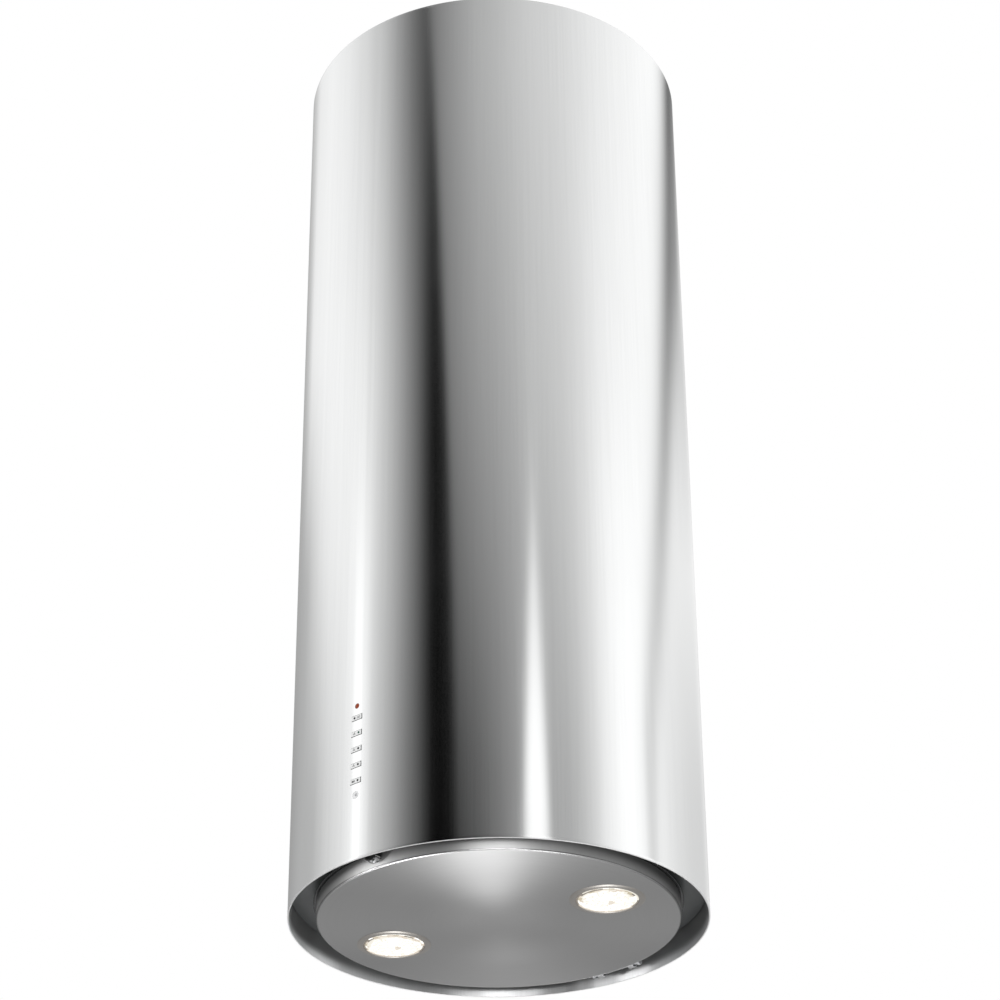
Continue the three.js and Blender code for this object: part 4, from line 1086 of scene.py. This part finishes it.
# ------------------------------------------------------------------ intake plate and grease filter
def make_intake_plate():
    bm = bmesh.new()
    half = math.degrees(6.8 / 150.6)
    step = 360 / 192
    angles = sorted({-half, half, 0.0, *[k * step for k in range(-95, 97) if abs(k * step) > half + 0.4]})
    prof = [(150.0, 25.4), (150.15, 25.1), (150.5, 25.0), (182.9, 25.0), (183.25, 25.15), (183.4, 25.5), (183.4, 37.5), (183.2, 37.9), (182.9, 38.0),
            (182.5, 37.9), (182.2, 37.5), (182.2, 27.2), (182.0, 26.5), (181.4, 26.2), (152.0, 26.2), (151.4, 26.5), (151.2, 27.2), (151.2, 29.6),
            (151.2, 33.0), (151.2, 49.5), (151.0, 49.9), (150.6, 50.0), (150.2, 49.9), (150.0, 49.5), (150.0, 33.0), (150.0, 29.6)]
    grid = [[bm.verts.new(Vector((r * math.sin(math.radians(a)), -r * math.cos(math.radians(a)), up(h))) * MM) for a in angles] for r, h in prof]
    n, m = len(prof), len(angles)
    j0, j1 = angles.index(-half), angles.index(half)
    for i in range(n):
        i2 = (i + 1) % n
        for j in range(m):
            j2 = (j + 1) % m
            if i in (17, 24) and j0 <= j < j1:
                continue
            bm.faces.new((grid[i][j], grid[i][j2], grid[i2][j2], grid[i2][j]))
    for j in range(j0, j1):
        bm.faces.new((grid[17][j], grid[17][j + 1], grid[25][j + 1], grid[25][j]))
        bm.faces.new((grid[18][j], grid[24][j], grid[24][j + 1], grid[18][j + 1]))
    for j in (j0, j1):
        bm.faces.new((grid[17][j], grid[18][j], grid[24][j], grid[25][j]))
    for a in (-25, 25):
        sub = bmesh.new()
        slab(sub, -7, 7, 143.5, 150.4, up(31.2), up(32.4), r=1.2, n=4, edge=0.3)
        bmesh.ops.transform(sub, matrix=Matrix.Rotation(math.radians(a), 4, "Z"), verts=sub.verts)
        tmp = bpy.data.meshes.new("tab")
        sub.to_mesh(tmp)
        sub.free()
        bm.from_mesh(tmp)
        bpy.data.meshes.remove(tmp)
    finish_mesh("intake_ring", bm, M["dark"], "hood_body", "dark_paint", ["intake_plate"])


make_intake_plate()

bm = bmesh.new()
spin(bm, fillet([(149.3, up(33)), (140, up(33)), (140, up(34)), (148.2, up(34)), (148.2, up(44)), (140, up(44)), (140, up(45)), (149.3, up(45))], 0.45, 3), 192)
slab(bm, 6.7, 8.2, -146, -129, up(28.4), up(33.5), r=0.5, n=2, edge=0.25)
slab(bm, -8.2, -6.7, -146, -129, up(28.4), up(33.5), r=0.5, n=2, edge=0.25)
slab(bm, -8.2, 8.2, -146, -129, up(28.4), up(29.6), r=0.5, n=2, edge=0.25)
finish_mesh("filter_hoop", bm, M["alu"], "hood_body", "filter_aluminium", ["filter_frame"])


def make_filter_pad():
    """Expanded aluminium: crossing zigzag strands below, and a corrugated pad of the same behind them."""
    bm = bmesh.new()
    lim, pitch, period, amp = 146.6, 4.3, 9.0, 2.15
    rows = int(lim / pitch)
    for layer, (z0, z1, turn) in enumerate(((34.5, 35.4, 0), (35.7, 36.5, 90))):
        for k in range(-rows, rows + 1):
            y0 = k * pitch
            reach = math.sqrt(max(lim * lim - (abs(y0) + amp) ** 2, 0))
            n = int(reach / (period / 2))
            if n < 2:
                continue
            prev = None
            for q in range(-n, n + 1):
                x = q * period / 2
                y = y0 + (amp if (q + k) % 2 else -amp) * 0.93
                cur = []
                for dy, z in ((-0.42, z0), (0.42, z0), (0.42, z1), (-0.42, z1)):
                    px, py = (x, y + dy) if turn == 0 else (y + dy, x)
                    cur.append(bm.verts.new(Vector((px, py, up(z))) * MM))
                if prev:
                    bridge(bm, prev, cur)
                else:
                    bm.faces.new(cur[::-1])
                prev = cur
            bm.faces.new(prev)
    pad = [(0.0, 37.6)]
    for k in range(1, 59):
        r = 146.8 * k / 58
        pad.append((r, 38.0 + (0.55 if k % 2 else -0.55)))
    pad += [(147.4, 38.4), (147.4, 42.9)] + [(146.8 * k / 29, 43.0 + (0.3 if k % 2 else -0.3)) for k in range(29, 0, -1)] + [(0.0, 43.0)]
    spin(bm, [(r, up(h)) for r, h in pad], 120, mat=1)
    finish_mesh("filter_pad", bm, [M["alu"], M["alu_pad"]], "hood_body", "filter_aluminium", ["filter_mesh"], smooth=False, weighted=False)


make_filter_pad()

bm = bmesh.new()
slab(bm, -6, 6, -154, -120, up(30.2), up(32.4), r=1.2, n=4, edge=0.4)
slab(bm, -6, 6, -122, -120, up(21), up(31), r=0.6, n=3, edge=0.3)
slab(bm, -6, 6, -126, -120, up(21), up(22.5), r=0.8, n=3, edge=0.4)
for k in range(4):
    slab(bm, -4.8, 4.8, -122.35, -121.8, up(24.2 + 1.5 * k), up(24.8 + 1.5 * k), r=0.15, n=1, edge=0.1)
finish_mesh("latch_slide", bm, M["black"], "latch", "black_plastic", ["filter_latch"])

# ------------------------------------------------------------------ hinge and catch
bm = bmesh.new()
slab(bm, -30, 30, 163.6, 179.5, up(23.4), up(24.7), r=3.0, n=5, edge=0.35)
for x0 in (-27, 25):
    prism(bm, [(161.8, up(24)), *arc(165, up(5), 3.3, 180, 360, 16), (169, up(24))], x0, x0 + 2, "X")
spin(bm, fillet([(0, -27.4), (3.0, -27.4), (3.0, -26.9), (2, -26.9), (2, 26.9), (3.0, 26.9), (3.0, 27.4), (0, 27.4)], 0.2, 2, False), 36, (0, 165, up(5)), "X")
for x0 in (-18, 0, 18):
    spin(bm, fillet([(0, up(22.6)), (2.2, up(22.7)), (2.6, up(23.4)), (0, up(23.5))], 0.3, 3, False), 24, (x0, 173.5, 0))
bevelled(finish_mesh("hinge_base", bm, M["zinc"], "hood_body", "zinc", ["hinge_bracket"]), 0.25)

for i, side in enumerate((-1, 1), 1):
    bm = bmesh.new()
    x = side * HOOK_X
    slab(bm, x - 6, x + 6, 160.3, 161.5, up(1.8), up(13), r=1.6, n=4, axis="Y", edge=0.3)
    spin(bm, fillet([(2.5, x - 3), (4.4, x - 3), (4.4, x + 3), (2.5, x + 3)], 0.4, 3), 40, (0, HINGE_Y, up(HINGE_H)), "X")
    slab(bm, x - 3, x + 3, 160.8, 163.2, up(HINGE_H + 1), up(HINGE_H + 4.2), r=0.4, n=2, edge=0.3)
    for h in (3.6, 11.2):
        spin(bm, fillet([(0, 162.1), (1.1, 162.05), (1.5, 161.4), (0, 161.3)], 0.25, 3, False), 24, (x, 0, up(h)), "Y")
    finish_mesh(f"hook_{i}", bm, M["hook"], "panel", "bright_steel", [f"hinge_hook_{i}"])

bm = bmesh.new()
slab(bm, CATCH_X - 14, CATCH_X + 14, -176, -163.3, up(23.5), up(24.7), r=2.2, n=4, edge=0.3)
for s in (-1, 1):
    pts = [(5.75, 24.0), (5.75, 12.5), (5.45, 9.5), (5.75, 7.4), (6.5, 6.0), (7.3, 6.2), (6.7, 7.8), (6.45, 9.5), (6.7, 12.5), (6.7, 24.0)]
    pts = [(CATCH_X + s * x, up(h)) for x, h in pts]
    prism(bm, pts if s > 0 else pts[::-1], -170, -163.4, "Y")
bevelled(finish_mesh("catch_spring", bm, M["spring"], "hood_body", "bright_steel", ["catch_clip"]), 0.15)

# ------------------------------------------------------------------ outlet collar and damper
collar0 = up(332.3)
flap_z = up(348)
turned("collar", [(73, collar0), (88.5, collar0), (88.5, collar0 + 1.5), (74.5, collar0 + 1.5), (74.5, collar0 + 30), (75.0, collar0 + 31), (75.0, collar0 + 33),
                  (74.5, collar0 + 34), (74.5, collar0 + 50), (73, collar0 + 50), (73, flap_z - 2.6), (69, flap_z - 2.6), (69, flap_z - 3.8),
                  (73, flap_z - 3.8)], 160, M["black"], "hood_body", "black_plastic", ["duct_collar"], round_r=0.4)
turned("pin", [(0, -76), (1.4, -76), (2, -75.4), (2, 75.4), (1.4, 76), (0, 76)], 32, M["bright"], "hood_body", "bright_steel", ["damper_pin"],
       centre=(0, 0, flap_z), axis="X")
for name, node, body, rot, knuckles in (("flap_disc_rear", "damper_flap_rear", "flap_rear", 0, ((-66, -50), (-8, 8), (50, 66))),
                                        ("flap_disc_front", "damper_flap_front", "flap_front", 180, ((-46, -30), (30, 46)))):
    bm = bmesh.new()
    a0 = math.degrees(math.asin(4.4 / 71.2))
    prism(bm, arc(0, 0, 71.2, a0, 180 - a0, 60), flap_z - 0.6, flap_z + 0.6)
    for k in range(3):      # stiffening ribs pressed into the leaf
        prism(bm, [*arc(0, 0, 22 + 15 * k, 25, 155, 24), *arc(0, 0, 23.4 + 15 * k, 155, 25, 24)], flap_z + 0.5, flap_z + 1.3)
    for x0, x1 in knuckles:
        spin(bm, fillet([(2.45, x0), (3.7, x0), (3.7, x1), (2.45, x1)], 0.3, 2), 32, (0, 0, flap_z), "X")
        slab(bm, x0, x1, 2.7, 5.5, flap_z - 0.6, flap_z + 0.6)
    bmesh.ops.transform(bm, matrix=Matrix.Rotation(math.radians(rot), 4, "Z"), verts=bm.verts)
    bevelled(finish_mesh(name, bm, M["grey"], body, "grey_plastic", [node]), 0.2)

# ------------------------------------------------------------------ motor, shaft, bracket, impeller
FY, FZ = -52.0, up(175)
bm = bmesh.new()
spin(bm, fillet([(0, -142), (26, -142), (30, -140), (30, -138), (44, -136), (44, -118), (43.2, -117.5), (43.2, -88), (44, -87.5), (44, -68), (42, -66),
                 (14, -66), (14, -58), (4.6, -58), (4.6, -75), (0, -75)], 0.8, 3, False), 96, (0, FY, FZ), "X")
for k in range(24):        # cooling ribs round the middle of the case
    an = TAU * k / 24
    sub_c = Vector((0, FY + 43.4 * math.cos(an), FZ + 43.4 * math.sin(an)))
    d = Vector((0, math.cos(an), math.sin(an)))
    s = Vector((0, -math.sin(an), math.cos(an)))
    loops = []
    for x in (-116.8, -88.2):
        loops.append([bm.verts.new((sub_c + d * a + s * b + Vector((x, 0, 0))) * MM) for a, b in ((-0.6, -0.8), (0.6, -0.6), (0.6, 0.6), (-0.6, 0.8))])
    bridge(bm, *loops)
    bm.faces.new(loops[0][::-1])
    bm.faces.new(loops[1])
finish_mesh("motor_case", bm, M["dark"], "hood_body", "dark_paint", ["motor"])
turned("shaft", [(0, -74), (3.4, -74), (4, -73.4), (4, 17.4), (3.4, 18), (0, 18)], 48, M["bright"], "fan", "bright_steel", ["motor_shaft"],
       centre=(0, FY, FZ), axis="X")
bm = bmesh.new()
spin(bm, fillet([(59, -63), (71, -63), (71, -61.5), (59, -61.5)], 0.3, 2), 96, (0, FY, FZ), "X")
spin(bm, fillet([(44.6, -80), (46.6, -80), (46.6, -61.5), (44.6, -61.5)], 0.3, 2), 96, (0, FY, FZ), "X")
for k in range(3):
    an = math.radians(120 * k + 60)
    d, s = Vector((0, -math.sin(an), math.cos(an))), Vector((0, math.cos(an), math.sin(an)))
    loops = [[bm.verts.new((Vector((x, FY, FZ)) + d * a + s * b) * MM) for a, b in ((45.5, -4.5), (60.5, -4.5), (60.5, 4.5), (45.5, 4.5))] for x in (-63, -61.5)]
    bridge(bm, *loops)
    bm.faces.new(loops[0][::-1])
    bm.faces.new(loops[1])
finish_mesh("bracket", bm, M["zinc"], "hood_body", "zinc", ["motor_bracket"])
bm = bmesh.new()
spin(bm, fillet([(4.3, -15), (12, -15), (12, -1.2), (71, -1.2), (71, 1.2), (12, 1.2), (12, 15), (4.3, 15)], 0.5, 3), 96, (0, FY, FZ), "X")
for x0, x1 in ((-54, -52), (52, 54)):
    spin(bm, fillet([(61, x0), (72, x0), (72, x1), (61, x1)], 0.5, 3), 96, (0, FY, FZ), "X")
for k in range(22):        # forward-curved blades
    base = TAU * k / 22
    inner, outer = [], []
    for q in range(7):
        f = q / 6
        r = 61.4 + 10.2 * f
        an = base + math.radians(-5.0 + 9.0 * f * f)
        inner.append((r, an))
        outer.append((r, an + 1.1 / r))
    loop2 = inner + outer[::-1]
    loops = [[bm.verts.new(Vector((x, FY + r * math.cos(an), FZ + r * math.sin(an))) * MM) for r, an in loop2] for x in (-52.5, 52.5)]
    bridge(bm, *loops)
    bm.faces.new(loops[0][::-1])
    bm.faces.new(loops[1])
finish_mesh("rotor", bm, M["black"], "fan", "black_plastic", ["impeller"])
turned("capacitor_can", [(0, up(140)), (14, up(140)), (15, up(141)), (15, up(200)), (14, up(202)), (5, up(202)), (4, up(208)), (0, up(208))], 48,
       M["white"], "hood_body", "white_plastic", ["capacitor"], centre=(-62, 101.5, 0), round_r=0.8)

# CAD pieces carried over get softened edges
REPLACED = {"outer_shell", "panel_tray", "panel_trim", "catch_knob", "led_lens", "receiver_window", "upper_sleeve", "ceiling_plate", "cable_gland", "intake_plate",
            "filter_frame", "filter_mesh", "filter_latch", "hinge_bracket", "catch_clip", "duct_collar", "damper_pin", "damper_flap_rear", "damper_flap_front",
            "motor", "motor_shaft", "motor_bracket", "impeller", "capacitor"}
REPLACED |= {f"{n}_{i}" for n in ("lamp_bezel", "lamp_glass", "lamp_reflector", "lamp_bulb", "hinge_hook") for i in (1, 2)}
REPLACED |= {f"clamp_screw_{i}" for i in range(1, 5)} | {f"button_{i}" for i in range(1, 6)}
for n, ob in NODES.items():
    if n not in REPLACED:
        bevelled(ob, 0.35, 2, 40)

# ------------------------------------------------------------------ floor, so that side views have something to stand over
bm = bmesh.new()
spin(bm, [(0, -2490), (30000, -2490), (30000, -2510), (0, -2510)], 64)
me = bpy.data.meshes.new("floor")
bm.to_mesh(me)
bm.free()
floor = bpy.data.objects.new("floor", me)
scene.collection.objects.link(floor)
m, t, b = principled("floor_mat")
n = t.noise(t.obj(), 1.2, 3.0, 0.5)
t.put(b.inputs["Base Color"], t.mixc(n, (0.80, 0.80, 0.79, 1), (0.86, 0.86, 0.855, 1)))
b.inputs["Roughness"].default_value = 0.7
me.materials.append(m)
floor.visible_glossy = False

# ------------------------------------------------------------------ low lights that reach, through the gap, only the panel's wall and the shell's inner face
def receivers(name, *names):
    coll = bpy.data.collections.new(name)
    for n in names:
        coll.objects.link(bpy.data.objects[n])
    return coll


def low_light(name, azimuth, elevation, distance, wide, tall, radiance, coll):
    data = bpy.data.lights.new(name, "AREA")
    data.shape = "RECTANGLE"
    data.size, data.size_y = wide, tall
    data.energy = radiance * math.pi * wide * tall
    ob = bpy.data.objects.new(name, data)
    scene.collection.objects.link(ob)
    az, el = math.radians(azimuth), math.radians(elevation)
    pos = cam_frame(distance * math.sin(az) * math.cos(el), -distance * math.cos(az) * math.cos(el), -HOOD_H * MM + distance * math.sin(el))
    aim = cam_frame(0, 0, -HOOD_H * MM) - pos
    ob.matrix_world = Matrix.Translation(pos) @ aim.to_track_quat("-Z", "Y").to_matrix().to_4x4()
    ob.visible_camera = False
    ob.light_linking.receiver_collection = coll
    return ob


gap_faces = receivers("gap_faces", "panel_wall_skin", "shell_inner_face")
wall_face = receivers("wall_face", "panel_wall_skin")
inner_face = receivers("inner_face", "shell_inner_face")
low_light("low_front", -2.0, -16.0, 0.94, 0.44, 0.11, 39.0, gap_faces)
low_light("low_left", -79.0, -16.0, 0.94, 0.24, 0.11, 46.0, gap_faces)
low_light("low_back", 122.0, -9.0, 0.94, 0.46, 0.08, 12.0, inner_face)
low_light("line_right", 38.0, -60.0, 0.94, 0.34, 0.26, 14.0, wall_face)
low_light("line_left", -92.0, -60.0, 0.94, 0.50, 0.30, 20.0, wall_face)
